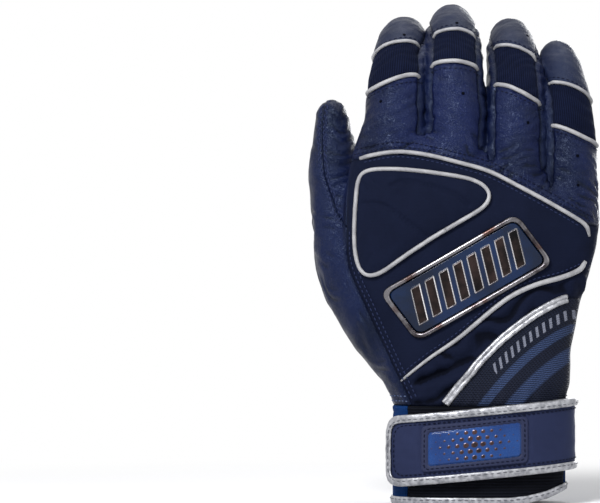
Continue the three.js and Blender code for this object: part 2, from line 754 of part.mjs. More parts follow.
// Diagonal binding: silver tape along the upper edge of the diagonal strap
const alongBinding = (distance) => diagonalSeam.map((point) =>
  corner(point.x - distance, point.y + distance));
const bindingReach = bindingWidth * Math.SQRT1_2 / 2;
addPiece("diagonal_binding", layer(
  hand, [...alongBinding(-bindingReach), ...alongBinding(bindingReach).reverse()],
  gap, gap + 2 * bindingThickness,
).subtract(slab(belowWrist, -farAway, farAway)), silverTape);

// Knuckle pad: foam under a cloth cover, inside a loop of piping
const padShares = [
  [-0.4, 0.661], [-0.33, 0.667], [-0.2, 0.665], [-0.064, 0.657], [0.06, 0.647], [0.13, 0.63],
  [0.148, 0.613], [0.125, 0.592], [0.03, 0.566], [-0.107, 0.528], [-0.244, 0.484], [-0.312, 0.46],
  [-0.367, 0.453], [-0.395, 0.467], [-0.413, 0.5], [-0.418, 0.54], [-0.413, 0.6],
];
const padFoamThickness = 2.7;
const padCoverThickness = 0.8;

const padOutline = padShares.map(place);
const foamOuter = gap + padFoamThickness;
const padHollow = filledHand(foamOuter + gap)
  .intersect(slab(grow(padOutline, -padCoverThickness), -farAway, farAway));
addPiece("knuckle_pad_cover", layer(
  filledHand, padOutline, gap, foamOuter + gap + padCoverThickness).subtract(padHollow), navyCloth);
addPiece("knuckle_pad_foam", layer(
  filledHand, grow(padOutline, -padCoverThickness - gap), gap, foamOuter,
  [-farAway, sideDepth - padCoverThickness]), foam);

// Badge: a moulded plate in a chrome rim, on the back of the hand
const badgeShares = [0.046, 0.4515]; // its middle
const badgeLength = 73;
const badgeHeight = 29;
const badgeTilt = THREE.MathUtils.degToRad(30);
const badgeLean = Math.tan(THREE.MathUtils.degToRad(7));
const badgeCorner = 6;
const badgeRim = 2.5;
const badgeRimThickness = 2.2;
const badgePlateThickness = 1.4;

const badgeOutline = roundCorners(
  rectangle(-badgeLength / 2, -badgeHeight / 2, badgeLength / 2, badgeHeight / 2)
    .map((point) => corner(point.x - badgeLean * point.y, point.y)
      .rotateAround(corner(0, 0), badgeTilt).add(place(badgeShares))),
  badgeCorner);
addPiece("badge_rim", layer(hand, badgeOutline, gap, gap + badgeRimThickness)
  .subtract(slab(grow(badgeOutline, -badgeRim), ...backDepths)), chrome);
addPiece("badge_plate", layer(
  hand, grow(badgeOutline, -badgeRim - gap), gap, gap + badgePlateThickness), bluePlate);

// Piping: a round cord in each seam
function skinMesh() {
  const { vertProperties, triVerts } = outside.getMesh();
  const geometry = new THREE.BufferGeometry();
  geometry.setAttribute("position", new THREE.BufferAttribute(new Float32Array(vertProperties), 3));
  geometry.setIndex(new THREE.BufferAttribute(new Uint32Array(triVerts), 1));
  geometry.computeVertexNormals();
  return new THREE.Mesh(geometry, new THREE.MeshBasicMaterial({ side: THREE.DoubleSide }));
}

const skin = skinMesh();
const caster = new THREE.Raycaster();

// Point over the skin of the back of the hand, raised along its normal
function raised(point, height) {
  caster.set(new THREE.Vector3(point.x, -farAway, point.y), new THREE.Vector3(0, 1, 0));
  const [hit] = caster.intersectObject(skin);
  const { position, normal } = skin.geometry.attributes;
  const face = [hit.face.a, hit.face.b, hit.face.c];
  const corners = face.map((k) => new THREE.Vector3().fromBufferAttribute(position, k));
  const weights = THREE.Triangle.getBarycoord(hit.point, ...corners, new THREE.Vector3());
  const upwards = face
    .map((k, i) => new THREE.Vector3().fromBufferAttribute(normal, k)
      .multiplyScalar(weights.getComponent(i)))
    .reduce((sum, each) => sum.add(each));
  return hit.point.clone().addScaledVector(upwards.normalize(), height);
}

const pipingStep = 4;
const pipingLift = pipingRadius + 2 * gap; // middle of the cord over the skin of the hand
const pipingSides = 6;

function piping(name, points) {
  const path = new THREE.CatmullRomCurve3(points);
  const steps = Math.ceil(path.getLength() / pipingStep);
  const section = new THREE.Shape().absarc(0, 0, pipingRadius, 0, 2 * Math.PI);
  const cord = new THREE.ExtrudeGeometry(
    section, { steps, curveSegments: pipingSides / 2, extrudePath: path });
  addPiece(name, solid(cord), greyPiping);
}

function skinPath(seam) {
  const curve = new THREE.SplineCurve(seam);
  return curve.getSpacedPoints(Math.ceil(curve.getLength() / pipingStep))
    .map((point) => raised(point, pipingLift));
}

// Ring of piping over the back of a finger, from side to side
const pipingTurns = 8;
const innerTurn = THREE.MathUtils.degToRad(56); // towards a neighbouring finger
const outerTurn = THREE.MathUtils.degToRad(80); // on the edge of the hand

function pipingArc(name, finger, distance) {
  const from = name === "index" ? -outerTurn : -innerTurn;
  const to = name === "little" ? outerTurn : innerTurn;
  const lift = pipingRadius + gap;
  return Array.from({ length: pipingTurns + 1 }, (_, i) => {
    const angle = from + (i / pipingTurns) * (to - from);
    const frame = fingerFrame(finger, distance + finger.flexSlope * Math.sin(angle));
    return frame.centre.clone()
      .addScaledVector(frame.side, Math.sin(angle) * (frame.halfWidth + lift))
      .addScaledVector(frame.back, Math.cos(angle) * (frame.halfDepth + lift));
  });
}

const knucklePipingStart = [-0.4, 0.69];
piping("knuckle_piping",
  skinPath(line([knucklePipingStart, ...knuckleSeamShares.slice(2)], seamSteps)));
piping("lower_piping", skinPath(lowerSeam));
piping("pad_piping", skinPath(grow(padOutline, pipingRadius + gap)));
for (const [name, finger] of Object.entries(fingers)) {
  piping(`${name}_lower_piping`, pipingArc(name, finger, finger.flexFrom));
  piping(`${name}_upper_piping`, pipingArc(name, finger, finger.flexTo));
}

// The origin is under the middle of the glove, on the surface that it stands on
const bounds = new THREE.Box3().setFromObject(glove);
const middleOfGlove = bounds.getCenter(new THREE.Vector3());
glove.position.set(-middleOfGlove.x, -middleOfGlove.y, -bounds.min.z);

export default glove;
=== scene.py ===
import json
import math

import bpy
import numpy as np
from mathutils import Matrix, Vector, noise
from mathutils.bvhtree import BVHTree

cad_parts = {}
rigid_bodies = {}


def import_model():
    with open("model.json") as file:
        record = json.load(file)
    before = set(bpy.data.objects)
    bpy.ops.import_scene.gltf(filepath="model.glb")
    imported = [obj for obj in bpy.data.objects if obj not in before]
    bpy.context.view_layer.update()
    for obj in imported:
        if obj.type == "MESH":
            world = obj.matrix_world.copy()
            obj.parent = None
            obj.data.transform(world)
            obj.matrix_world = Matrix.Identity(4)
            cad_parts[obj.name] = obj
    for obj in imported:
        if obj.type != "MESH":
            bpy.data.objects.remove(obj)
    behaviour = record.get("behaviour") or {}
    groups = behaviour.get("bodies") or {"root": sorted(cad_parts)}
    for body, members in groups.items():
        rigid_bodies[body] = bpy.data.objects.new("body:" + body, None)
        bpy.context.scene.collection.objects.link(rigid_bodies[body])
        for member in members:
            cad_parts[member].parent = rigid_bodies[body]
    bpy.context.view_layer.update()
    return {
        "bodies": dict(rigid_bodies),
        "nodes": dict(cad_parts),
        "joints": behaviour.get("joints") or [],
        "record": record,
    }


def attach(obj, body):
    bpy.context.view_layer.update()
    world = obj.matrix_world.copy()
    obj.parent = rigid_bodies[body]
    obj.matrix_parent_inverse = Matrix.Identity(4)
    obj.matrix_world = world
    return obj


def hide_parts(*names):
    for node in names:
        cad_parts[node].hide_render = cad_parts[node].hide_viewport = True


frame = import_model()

# A batting glove for the right hand, filled as if worn and standing on its hem. Sizes are in
# millimetres, with X from the thumb to the little finger, Y from the back of the hand to the
# palm and Z up. Points become metres in the frame only when a mesh is made.

# Camera: level and straight on to the back of the hand from far away. The glove keeps its
# place in the right half of the picture, as the photograph shows the back view there.
MM = 0.001
FRAME_ORIGIN = np.array([0.3113, 12.4509, 0.0])
PICTURE_WIDTH = 282.0
CAMERA_DISTANCE = 1900.0
SENSOR_WIDTH = 36.0
CAMERA_PLACE = (-72.0, 117.3)
camera = bpy.data.objects.new("camera", bpy.data.cameras.new("camera"))
bpy.context.scene.collection.objects.link(camera)
bpy.context.scene.camera = camera
camera.data.sensor_width = SENSOR_WIDTH
camera.data.lens = SENSOR_WIDTH * CAMERA_DISTANCE / PICTURE_WIDTH
camera.data.clip_end = 20
camera.location = (
    (CAMERA_PLACE[0] - FRAME_ORIGIN[0]) * MM, -CAMERA_DISTANCE * MM, CAMERA_PLACE[1] * MM)
camera.rotation_euler = (math.pi / 2, 0, 0)

# Light and floor: a white table and background, one large soft lamp above and in front at
# the left, a weaker one at the right, one above the fingertips and one behind for the palm.
LIT_POINT = Vector((0, 0, 0.11))
# Place and size in metres, and power in watts
LAMPS = {
    "key": ((-0.42, -0.95, 0.88), 0.4, 20.0),
    "fill": ((1.0, -0.7, 0.4), 0.9, 2.2),
    "top": ((0.1, 0.3, 1.25), 0.6, 4.0),
    "back": ((0.4, 1.1, 0.3), 0.6, 9.0),
}
for lamp_name, (place, size, power) in LAMPS.items():
    lamp = bpy.data.objects.new(lamp_name, bpy.data.lights.new(lamp_name, "AREA"))
    lamp.data.size, lamp.data.energy = size, power
    lamp.location = place
    lamp.rotation_euler = (LIT_POINT - Vector(place)).to_track_quat("-Z", "Y").to_euler()
    bpy.context.scene.collection.objects.link(lamp)

bpy.context.scene.view_settings.view_transform = "Standard"


def fill(tree, node, inputs):
    """Sets a node's inputs, each to a value or to the output of another node."""
    for socket, value in inputs.items():
        if isinstance(value, bpy.types.NodeSocket):
            tree.links.new(value, node.inputs[socket])
        else:
            node.inputs[socket].default_value = value


def add_node(tree, kind, inputs=None, **settings):
    node = tree.nodes.new(kind)
    for key, value in settings.items():
        setattr(node, key, value)
    fill(tree, node, inputs or {})
    return node


def math_node(tree, operation, *values):
    return add_node(tree, "ShaderNodeMath", dict(enumerate(values)),
                    operation=operation).outputs[0]


def mapped(tree, value, low, high, to_low=0.0, to_high=1.0):
    """Value led smoothly from one range to another and held at both ends."""
    sockets = {"Value": value, "From Min": low, "From Max": high, "To Min": to_low,
               "To Max": to_high}
    return add_node(tree, "ShaderNodeMapRange", sockets,
                    interpolation_type="SMOOTHSTEP").outputs[0]


def white_to_camera(tree, plain, white, output, fade=None):
    """Output that only camera, mirror and glass rays see as white, as far as fade lets them."""
    ray = add_node(tree, "ShaderNodeLightPath").outputs
    seen = math_node(tree, "MAXIMUM", ray["Is Glossy Ray"], ray["Is Transmission Ray"])
    seen = math_node(tree, "MAXIMUM", ray["Is Camera Ray"], seen)
    if fade is not None:
        seen = math_node(tree, "MULTIPLY", fade, seen)
    mix = add_node(tree, "ShaderNodeMixShader", {0: seen, 1: plain, 2: white})
    add_node(tree, output, {0: mix.outputs[0]})


world = bpy.data.worlds.new("studio")
bpy.context.scene.world = world
world.use_nodes = True
sky = world.node_tree
sky.nodes.clear()
ambient = add_node(sky, "ShaderNodeBackground", {"Color": (0.95, 0.97, 1, 1), "Strength": 0.2})
white = add_node(sky, "ShaderNodeBackground", {"Color": (1, 1, 1, 1), "Strength": 1})
white_to_camera(sky, ambient.outputs[0], white.outputs[0], "ShaderNodeOutputWorld")

FLOOR_SIZE = 6.0
FLOOR_SHADOW = (0.16, 0.42)
bpy.ops.mesh.primitive_grid_add(size=FLOOR_SIZE, location=(0, 0, 0))
floor = bpy.context.object
floor.name = "floor"
floor_finish = bpy.data.materials.new("white_table")
floor_finish.use_nodes = True
table = floor_finish.node_tree
table.nodes.clear()
matt = add_node(table, "ShaderNodeBsdfDiffuse", {"Color": (0.86, 0.86, 0.87, 1)})
glow = add_node(table, "ShaderNodeEmission", {"Color": (1, 1, 1, 1), "Strength": 1})
around = add_node(table, "ShaderNodeTexCoord").outputs["Object"]
from_glove = add_node(table, "ShaderNodeVectorMath", {0: around}, operation="LENGTH")
fade = mapped(table, from_glove.outputs["Value"], *FLOOR_SHADOW)
white_to_camera(table, matt.outputs[0], glow.outputs[0], "ShaderNodeOutputMaterial", fade)
floor.data.materials.append(floor_finish)

# Form of the filled glove: a rounded palm, four bent fingers and a thumb, which are drawn as
# smooth tubes, fused into one skin and softened in the crotches. The leather and cloth
# pieces are all cut from this skin, so that they meet in their seams.
GLOVE_LENGTH = 233.0
PALM_WIDTH = 110.0
PALM_DEPTH = 40.0
WRIST_SEAM = 46.0


def follow(rows, share):
    """Smooth values through the rows of a table, at each share of the way along it."""
    rows = np.asarray(rows, float)
    place = np.clip(np.asarray(share, float), 0, 1) * (len(rows) - 1)
    k = np.minimum(place.astype(int), len(rows) - 2)
    t = (place - k)[..., None]
    p0, p1, p2, p3 = (rows[np.clip(k + step, 0, len(rows) - 1)] for step in (-1, 0, 1, 2))
    return 0.5 * (2 * p1 + (p2 - p0) * t + (2 * p0 - 5 * p1 + 4 * p2 - p3) * t ** 2
                  + (3 * p1 - p0 - 3 * p2 + p3) * t ** 3)


def ease(value):
    """0 up to 0, 1 from 1 on, and a smooth rise between them."""
    t = np.clip(value, 0, 1)
    return t * t * (3 - 2 * t)


def unit(vectors):
    """The same directions with length 1."""
    return vectors / np.linalg.norm(vectors, axis=-1, keepdims=True)


# Height, middle, half width, half depth and slope of each ring of the palm
PALM_ROWS = [
    [0.0, 0.1045, 0.359, 0.53, 0], [0.11, 0.1045, 0.359, 0.53, 0],
    [0.197, 0.104, 0.36, 0.525, 0], [0.245, 0.094, 0.394, 0.52, 0],
    [0.31, 0.074, 0.418, 0.51, 0], [0.385, 0.066, 0.458, 0.5, 0],
    [0.47, 0.066, 0.51, 0.49, 0], [0.55, 0.07, 0.538, 0.465, -0.05],
    [0.62, 0.088, 0.53, 0.415, -0.17], [0.667, 0.105, 0.505, 0.33, -0.3],
    [0.695, 0.109, 0.47, 0.21, -0.35], [0.71, 0.109, 0.43, 0.09, -0.35],
]
PALM_SQUARENESS = 2.5


def squared(turns):
    """Shares sideways and backwards on a ring between an oval and a rectangle."""
    return [np.sign(v) * np.abs(v) ** (2 / PALM_SQUARENESS)
            for v in (np.sin(turns), np.cos(turns))]


def palm_ring(share, turns):
    """Points round the palm at a share of its rows; turn 0 is at the back of the hand."""
    height, middle, half_width, half_depth, slope = follow(PALM_ROWS, share)
    side, back = squared(turns)
    across, deep = side * half_width * PALM_WIDTH, -back * half_depth * PALM_DEPTH
    return np.stack([middle * PALM_WIDTH + across, deep,
                     height * GLOVE_LENGTH + slope * across], -1)


# Fingers: root, bones, half width and half depth, then the flex panel, its slope, the tilts
# of the three bones, the lean and the turn about Z
FINGERS = {
    "index": dict(root=(-0.259, -0.06, 0.648), bones=(45, 26, 15), half=(13.9, 13),
                  flex=(43, 62), slope=3.5, tilts=(11, 44, 68), lean=0.02, roll=-6),
    "middle": dict(root=(0.004, -0.05, 0.652), bones=(48, 28, 16), half=(14, 13.2),
                   flex=(49, 68), slope=-0.5, tilts=(11, 44, 68), lean=0.0, roll=0),
    "ring": dict(root=(0.262, -0.05, 0.627), bones=(46, 27, 16), half=(13.5, 12.8),
                 flex=(43, 65), slope=-4.5, tilts=(11, 41, 64), lean=0.015, roll=3),
    "little": dict(root=(0.501, -0.04, 0.575), bones=(44, 23, 16), half=(12.3, 11.8),
                   flex=(37, 58), slope=-5.0, tilts=(9, 30, 50), lean=0.0, roll=9),
}
HAND_SIZE = np.array([PALM_WIDTH, PALM_DEPTH, GLOVE_LENGTH])
FINGER_ROOT = 16.0
FINGER_TIP = 11.0
TIP_NARROWING = 0.28
ROOT_NARROWING = 0.22
JOINT_BLEND = 9.0
TIP_TURNS = np.radians([15, 30, 42, 54, 64, 73, 81, 87])


class Finger:
    """Middle line of a finger, with its directions and half sizes at each millimetre."""

    def __init__(self, root, bones, half, flex, slope, tilts, lean, roll):
        self.flex, self.slope = flex, slope
        self.joints = bones[0], bones[0] + bones[1]
        self.reach = float(sum(bones))
        step = 0.5
        self.along = np.arange(-FINGER_ROOT, self.reach + FINGER_TIP + step, step)
        bend = [ease((self.along - joint + JOINT_BLEND) / (2 * JOINT_BLEND))
                for joint in self.joints]
        tilt = np.radians(tilts[0] + (tilts[1] - tilts[0]) * bend[0]
                          + (tilts[2] - tilts[1]) * bend[1])
        turn = math.radians(roll)
        heading = unit(np.stack([lean - math.sin(turn) * np.sin(tilt),
                                 math.cos(turn) * np.sin(tilt), np.cos(tilt)], -1))
        path = np.cumsum(heading * step, axis=0)
        zero = int(round(FINGER_ROOT / step))
        self.centre = path - path[zero] + np.array(root) * HAND_SIZE
        side = np.array([math.cos(turn), math.sin(turn), 0])
        self.side = unit(side - heading * (heading @ side)[:, None])
        self.heading = heading
        self.back = np.cross(self.side, heading)
        narrowing = (1 - TIP_NARROWING * np.clip(self.along / self.reach, 0, 1) ** 3
                     - ROOT_NARROWING * np.clip(-self.along / FINGER_ROOT, 0, 1))
        past = np.clip((self.along - self.reach) / FINGER_TIP, 0, 1)
        rounding = np.sqrt(np.maximum(1 - past ** 2, 0.0009))
        self.half_width = half[0] * narrowing * rounding
        self.half_depth = half[1] * narrowing * rounding

    def at(self, distance):
        """Frame at a distance along the finger: centre, side, back, half width, half depth."""
        k = np.interp(distance, self.along, np.arange(len(self.along)))
        low = np.minimum(np.floor(k).astype(int), len(self.along) - 2)
        t = (k - low)[..., None]
        mixed = [v[low] * (1 - t) + v[low + 1] * t for v in (self.centre, self.side, self.back)]
        halves = [np.interp(distance, self.along, v) for v in (self.half_width, self.half_depth)]
        return (*mixed, *halves)

    def point(self, distance, angle):
        """Point on the finger's form; angle 0 is the back, 90 degrees +side."""
        distance, angle = np.broadcast_arrays(
            np.asarray(distance, float), np.asarray(angle, float))
        centre, side, back, wide, deep = self.at(distance)
        return (centre + side * (np.sin(angle) * wide)[..., None]
                + back * (np.cos(angle) * deep)[..., None])

    def rings(self, sides):
        turns = (np.arange(sides) + 0.5) / sides * 2 * math.pi
        stops = np.concatenate([
            np.arange(-FINGER_ROOT, self.reach, 2.0),
            self.reach + FINGER_TIP * np.sin(np.append(0, TIP_TURNS))])
        return [self.point(np.full(sides, s), turns) for s in stops]

    def locate(self, points):
        """Distance along, angle round and radial share of points near the finger."""
        nearest = np.empty(len(points), int)
        for start in range(0, len(points), 4000):
            part = points[start:start + 4000]
            gaps = ((part[:, None, :] - self.centre[None, ::2]) ** 2).sum(-1)
            nearest[start:start + 4000] = gaps.argmin(1) * 2
        offset = points - self.centre[nearest]
        across = (offset * self.side[nearest]).sum(1)
        behind = (offset * self.back[nearest]).sum(1)
        onward = (offset * self.heading[nearest]).sum(1)
        size = np.hypot(across / np.maximum(self.half_width[nearest], 3),
                        behind / np.maximum(self.half_depth[nearest], 3))
        return self.along[nearest] + onward, np.arctan2(across, behind), size


FINGER = {name: Finger(**sizes) for name, sizes in FINGERS.items()}

# Thumb: across, depth and height of its middle line, then half width and half depth
THUMB_ROWS = [
    [-0.08, 0.02, 0.2, 0.1, 0.28], [-0.2, 0.09, 0.3, 0.155, 0.4],
    [-0.33, 0.19, 0.39, 0.168, 0.45], [-0.42, 0.28, 0.47, 0.158, 0.42],
    [-0.475, 0.36, 0.55, 0.136, 0.37], [-0.508, 0.41, 0.63, 0.113, 0.31],
    [-0.507, 0.45, 0.7, 0.1, 0.265], [-0.515, 0.49, 0.765, 0.074, 0.2],
]
THUMB_TIP = 11.0
THUMB_STEPS = 60


def thumb_rings(sides):
    turns = (np.arange(sides) + 0.5) / sides * 2 * math.pi
    shares = np.concatenate([np.linspace(0, 1, THUMB_STEPS), np.full(len(TIP_TURNS), 1.0)])
    tip = np.concatenate([np.zeros(THUMB_STEPS), TIP_TURNS])
    rows = follow(THUMB_ROWS, shares)
    centre = rows[:, :3] * HAND_SIZE
    last = np.minimum(shares, 0.99)
    heading = unit(
        (follow(THUMB_ROWS, last + 0.01) - follow(THUMB_ROWS, last))[:, :3] * HAND_SIZE)
    side = unit(np.array([1.0, 0, 0]) - heading * heading[:, :1])
    back = np.cross(side, heading)
    centre = centre + heading * (np.sin(tip) * THUMB_TIP)[:, None]
    rounding = np.cos(tip)
    return [centre[i] + side[i] * (np.sin(turns) * rows[i, 3] * PALM_WIDTH * rounding[i])[:, None]
            + back[i] * (np.cos(turns) * rows[i, 4] * PALM_DEPTH * rounding[i])[:, None]
            for i in range(len(shares))]


def tube(rings):
    """Closed skin over rings of points: its points and its faces."""
    sides, count = len(rings[0]), len(rings)
    points = np.concatenate([*rings, [rings[0].mean(0)], [rings[-1].mean(0)]])
    faces = []
    for r in range(count - 1):
        for i in range(sides):
            j = (i + 1) % sides
            a, b = r * sides, (r + 1) * sides
            faces.append((a + i, a + j, b + j, b + i))
    first, last = count * sides, count * sides + 1
    for i in range(sides):
        j = (i + 1) % sides
        faces.append((first, j, i))
        faces.append((last, (count - 1) * sides + i, (count - 1) * sides + j))
    return points, faces


def make_mesh(name, points, faces, edges=()):
    """Object with its points in the frame, in metres."""
    mesh = bpy.data.meshes.new(name)
    placed = (np.asarray(points, float) - FRAME_ORIGIN) * MM
    mesh.from_pydata(placed.tolist(), list(edges), [tuple(int(i) for i in f) for f in faces])
    mesh.update()
    made = bpy.data.objects.new(name, mesh)
    bpy.context.scene.collection.objects.link(made)
    return made


PALM_SIDES, THUMB_SIDES, FINGER_SIDES = 96, 40, 48
PALM_START, PALM_STEPS = 0.07, 80
turns_round = (np.arange(PALM_SIDES) + 0.5) / PALM_SIDES * 2 * math.pi
palm_rings = [palm_ring(share, turns_round)
              for share in np.linspace(PALM_START, 1, PALM_STEPS)]
forms = [tube(palm_rings), tube(thumb_rings(THUMB_SIDES))]
forms += [tube(finger.rings(FINGER_SIDES)) for finger in FINGER.values()]
form_points, form_faces, start = [], [], 0
for points, faces in forms:
    form_points.append(points)
    form_faces += [tuple(i + start for i in face) for face in faces]
    start += len(points)
skin_object = make_mesh("skin", np.concatenate(form_points), form_faces)

SKIN_CELL = 1.15


def evaluated(made):
    """Plain mesh of an object with its modifiers applied; the modifiers are removed."""
    mesh = bpy.data.meshes.new_from_object(
        made.evaluated_get(bpy.context.evaluated_depsgraph_get()))
    made.modifiers.clear()
    return mesh


def fused(made, cell):
    """Mesh of an object whose overlapping forms are made one skin of even cells."""
    fuse = made.modifiers.new("fuse", "REMESH")
    fuse.mode, fuse.voxel_size, fuse.adaptivity = "VOXEL", cell, 0
    return evaluated(made)


def edges_of(faces):
    return np.concatenate([faces[:, [0, 1]], faces[:, [1, 2]], faces[:, [2, 0]]])


skin_mesh = fused(skin_object, SKIN_CELL * MM)
bpy.data.objects.remove(skin_object)
skin = np.empty(len(skin_mesh.vertices) * 3)
skin_mesh.vertices.foreach_get("co", skin)
skin = skin.reshape(-1, 3) / MM + FRAME_ORIGIN
quads = np.array([tuple(p.vertices) for p in skin_mesh.polygons if len(p.vertices) == 4])
triangles = np.concatenate([quads[:, [0, 1, 2]], quads[:, [0, 2, 3]]])
extra = [tuple(p.vertices) for p in skin_mesh.polygons if len(p.vertices) == 3]
if extra:
    triangles = np.concatenate([triangles, np.array(extra)])
pairs = np.unique(np.sort(edges_of(triangles), 1), axis=0)


def averaged(values, times, weight=None):
    """Values on the skin, smoothed with their neighbours."""
    count = np.bincount(pairs.ravel(), minlength=len(skin)).astype(float)
    shape = (-1,) + (1,) * (values.ndim - 1)
    for _ in range(times):
        total = np.zeros_like(values)
        np.add.at(total, pairs[:, 0], values[pairs[:, 1]])
        np.add.at(total, pairs[:, 1], values[pairs[:, 0]])
        mean = total / count.reshape(shape)
        share = 0.5 if weight is None else 0.5 * weight.reshape(shape)
        values = values * (1 - share) + mean * share
    return values


def normals_of(points, faces):
    cross = np.cross(points[faces[:, 1]] - points[faces[:, 0]],
                     points[faces[:, 2]] - points[faces[:, 0]])
    total = np.zeros_like(points)
    for k in range(3):
        np.add.at(total, faces[:, k], cross)
    return total / np.maximum(np.linalg.norm(total, axis=1, keepdims=True), 1e-9)


skin = averaged(skin, 6)
located = {name: finger.locate(skin) for name, finger in FINGER.items()}
root_share = np.zeros(len(skin))
for name, (along, angle, size) in located.items():
    near = np.clip(1.7 - size, 0, 1) * ease(1 - np.abs(along - 4) / 22)
    root_share = np.maximum(root_share, near)
skin = averaged(skin, 14, ease(root_share))


# Seams: the lines along which the glove's pieces are sewn together. They are drawn on the back
# of the hand, in shares of its width and length, and stay in that plane until they are laid.
def on_back(shares, steps=None):
    """Points across and up the hand, along a smooth line unless steps is left out."""
    places = np.array(shares, float) * (PALM_WIDTH, GLOVE_LENGTH)
    if steps is None:
        return places
    return follow(places, np.linspace(0, 1, steps))


SEAM_STEPS = 90
knuckle_seam = on_back([
    (-0.46, 0.682), (-0.36, 0.694), (-0.244, 0.702), (-0.107, 0.694), (0.06, 0.674),
    (0.166, 0.657), (0.334, 0.6155), (0.4445, 0.587), (0.555, 0.557)], SEAM_STEPS)
lower_seam = on_back([
    (-0.2332, 0.2447), (-0.107, 0.293), (0.0045, 0.329), (0.1155, 0.373), (0.222, 0.412),
    (0.334, 0.438), (0.4445, 0.452), (0.53, 0.468)], SEAM_STEPS)
diagonal_seam = on_back([
    (-0.075, 0.182), (0.03, 0.246), (0.1155, 0.293), (0.222, 0.341), (0.334, 0.379),
    (0.43, 0.404), (0.47, 0.41)], SEAM_STEPS)
side_seam = on_back([
    (-0.46, 0.55), (-0.449, 0.474), (-0.37, 0.385), (-0.282, 0.293), (-0.185, 0.197)], 40)
palm_seam = on_back([
    (-0.56, 0.86), (-0.566, 0.77), (-0.571, 0.623), (-0.5236, 0.492), (-0.43, 0.363),
    (-0.318, 0.2987), (-0.2245, 0.234), (-0.19, 0.18)], 60)
zigzag_seam = on_back([
    (-0.53, 0.86), (-0.555, 0.775), (-0.56, 0.718), (-0.545, 0.65), (-0.515, 0.61),
    (-0.5, 0.585), (-0.465, 0.555)], 40)
FAR = 240.0


def within(points, outline):
    """Distance of points from an outline, in the plane of the back; positive inside it."""
    outline = np.asarray(outline, float)
    after = np.roll(outline, -1, axis=0)
    inside = np.zeros(len(points), bool)
    nearest = np.full(len(points), np.inf)
    for (ax, ay), (bx, by) in zip(outline, after):
        edge = np.array([bx - ax, by - ay])
        length = edge @ edge
        if length < 1e-9:
            continue
        offset = points - (ax, ay)
        t = np.clip(offset @ edge / length, 0, 1)
        nearest = np.minimum(nearest, ((offset - t[:, None] * edge) ** 2).sum(1))
        crosses = (ay > points[:, 1]) != (by > points[:, 1])
        where = ax + (points[:, 1] - ay) / (by - ay + 1e-12) * (bx - ax)
        inside ^= crosses & (points[:, 0] < where)
    return np.where(inside, 1, -1) * np.sqrt(nearest)


# The skin as seen from the back, and on it the nearest finger, the distance along that finger
# and the angle round it, how far a point belongs to a finger and how far it lies behind it
seen = skin[:, [0, 2]]
finger_names = list(FINGER)
THUMB_SIDE, THUMB_HEIGHT = -46, 190
ROUND_FINGER = 12.5
sizes = np.stack([np.where(located[n][0] > -10, located[n][2], 9) for n in finger_names])
owner = sizes.argmin(0)
own_size = sizes.min(0)
along = np.choose(owner, [located[n][0] for n in finger_names])
angle = np.choose(owner, [located[n][1] for n in finger_names])
on_finger = ease((1.75 - own_size) / 0.35) * ease((along - 2) / 12)
on_finger[(seen[:, 0] < THUMB_SIDE) & (skin[:, 2] < THUMB_HEIGHT)] = 0
arc_to_side = (math.pi / 2 - np.abs(angle)) * ROUND_FINGER
behind = (1 - on_finger) * -skin[:, 1] + on_finger * arc_to_side
NOWHERE = -50.0

# Pattern of the pieces: for each one, how far inside its seams every point of the skin is, in
# millimetres, and negative outside it. Later pieces end where earlier ones begin, and the palm
# leather takes what is left.
inside = {}
STRIP_HALF = math.radians(36)
CROTCH_HALF = np.array([5, 6.5, 5.5])
# Fingers on either side, place of the crotch, and where its strips begin along the fingers
CROTCHES = {
    "index_middle_fourchette": ("index", "middle", (-0.13, 0.747), 20),
    "middle_ring_fourchette": ("middle", "ring", (0.138, 0.712), 12),
    "ring_little_fourchette": ("ring", "little", (0.388, 0.662), 8),
}
for piece, (left, right, middle, first) in CROTCHES.items():
    x, z = on_back(middle)
    reach_in = (CROTCH_HALF - np.abs(skin - (x, 1, z))).min(1)
    for name, sign in ((left, 1), (right, -1)):
        finger = FINGER[name]
        strip_along, strip_angle, strip_size = located[name]
        end = finger.reach + FINGER_TIP * 0.55
        half = STRIP_HALF * (0.06 + 0.94 * ease((end - strip_along) / (finger.reach * 0.42)))
        wave = 0.5 * np.sin(strip_along / 3.1 + 2 * sign) + 0.35 * np.sin(strip_along / 1.7)
        to_edge = (half - np.abs(strip_angle - sign * math.pi / 2)) * ROUND_FINGER + wave * 0.5
        strip = np.minimum(to_edge, np.minimum(strip_along - first, end - strip_along))
        mine = ((owner == finger_names.index(name)) & (strip_size < 1.6)
                & (strip_along > first - 9))
        reach_in = np.maximum(reach_in, np.where(mine, strip, NOWHERE))
    inside[piece] = reach_in

for k, (name, finger) in enumerate(FINGER.items()):
    mine = (owner == k) & (own_size < 1.7) & (along > 20)
    level = along - finger.slope * np.sin(angle)
    inside[name + "_tip_back"] = np.where(
        mine, np.minimum(level - finger.flex[1], arc_to_side), NOWHERE)
    inside[name + "_flex_panel"] = np.where(mine, np.minimum(
        np.minimum(level - finger.flex[0], finger.flex[1] - level), arc_to_side), NOWHERE)

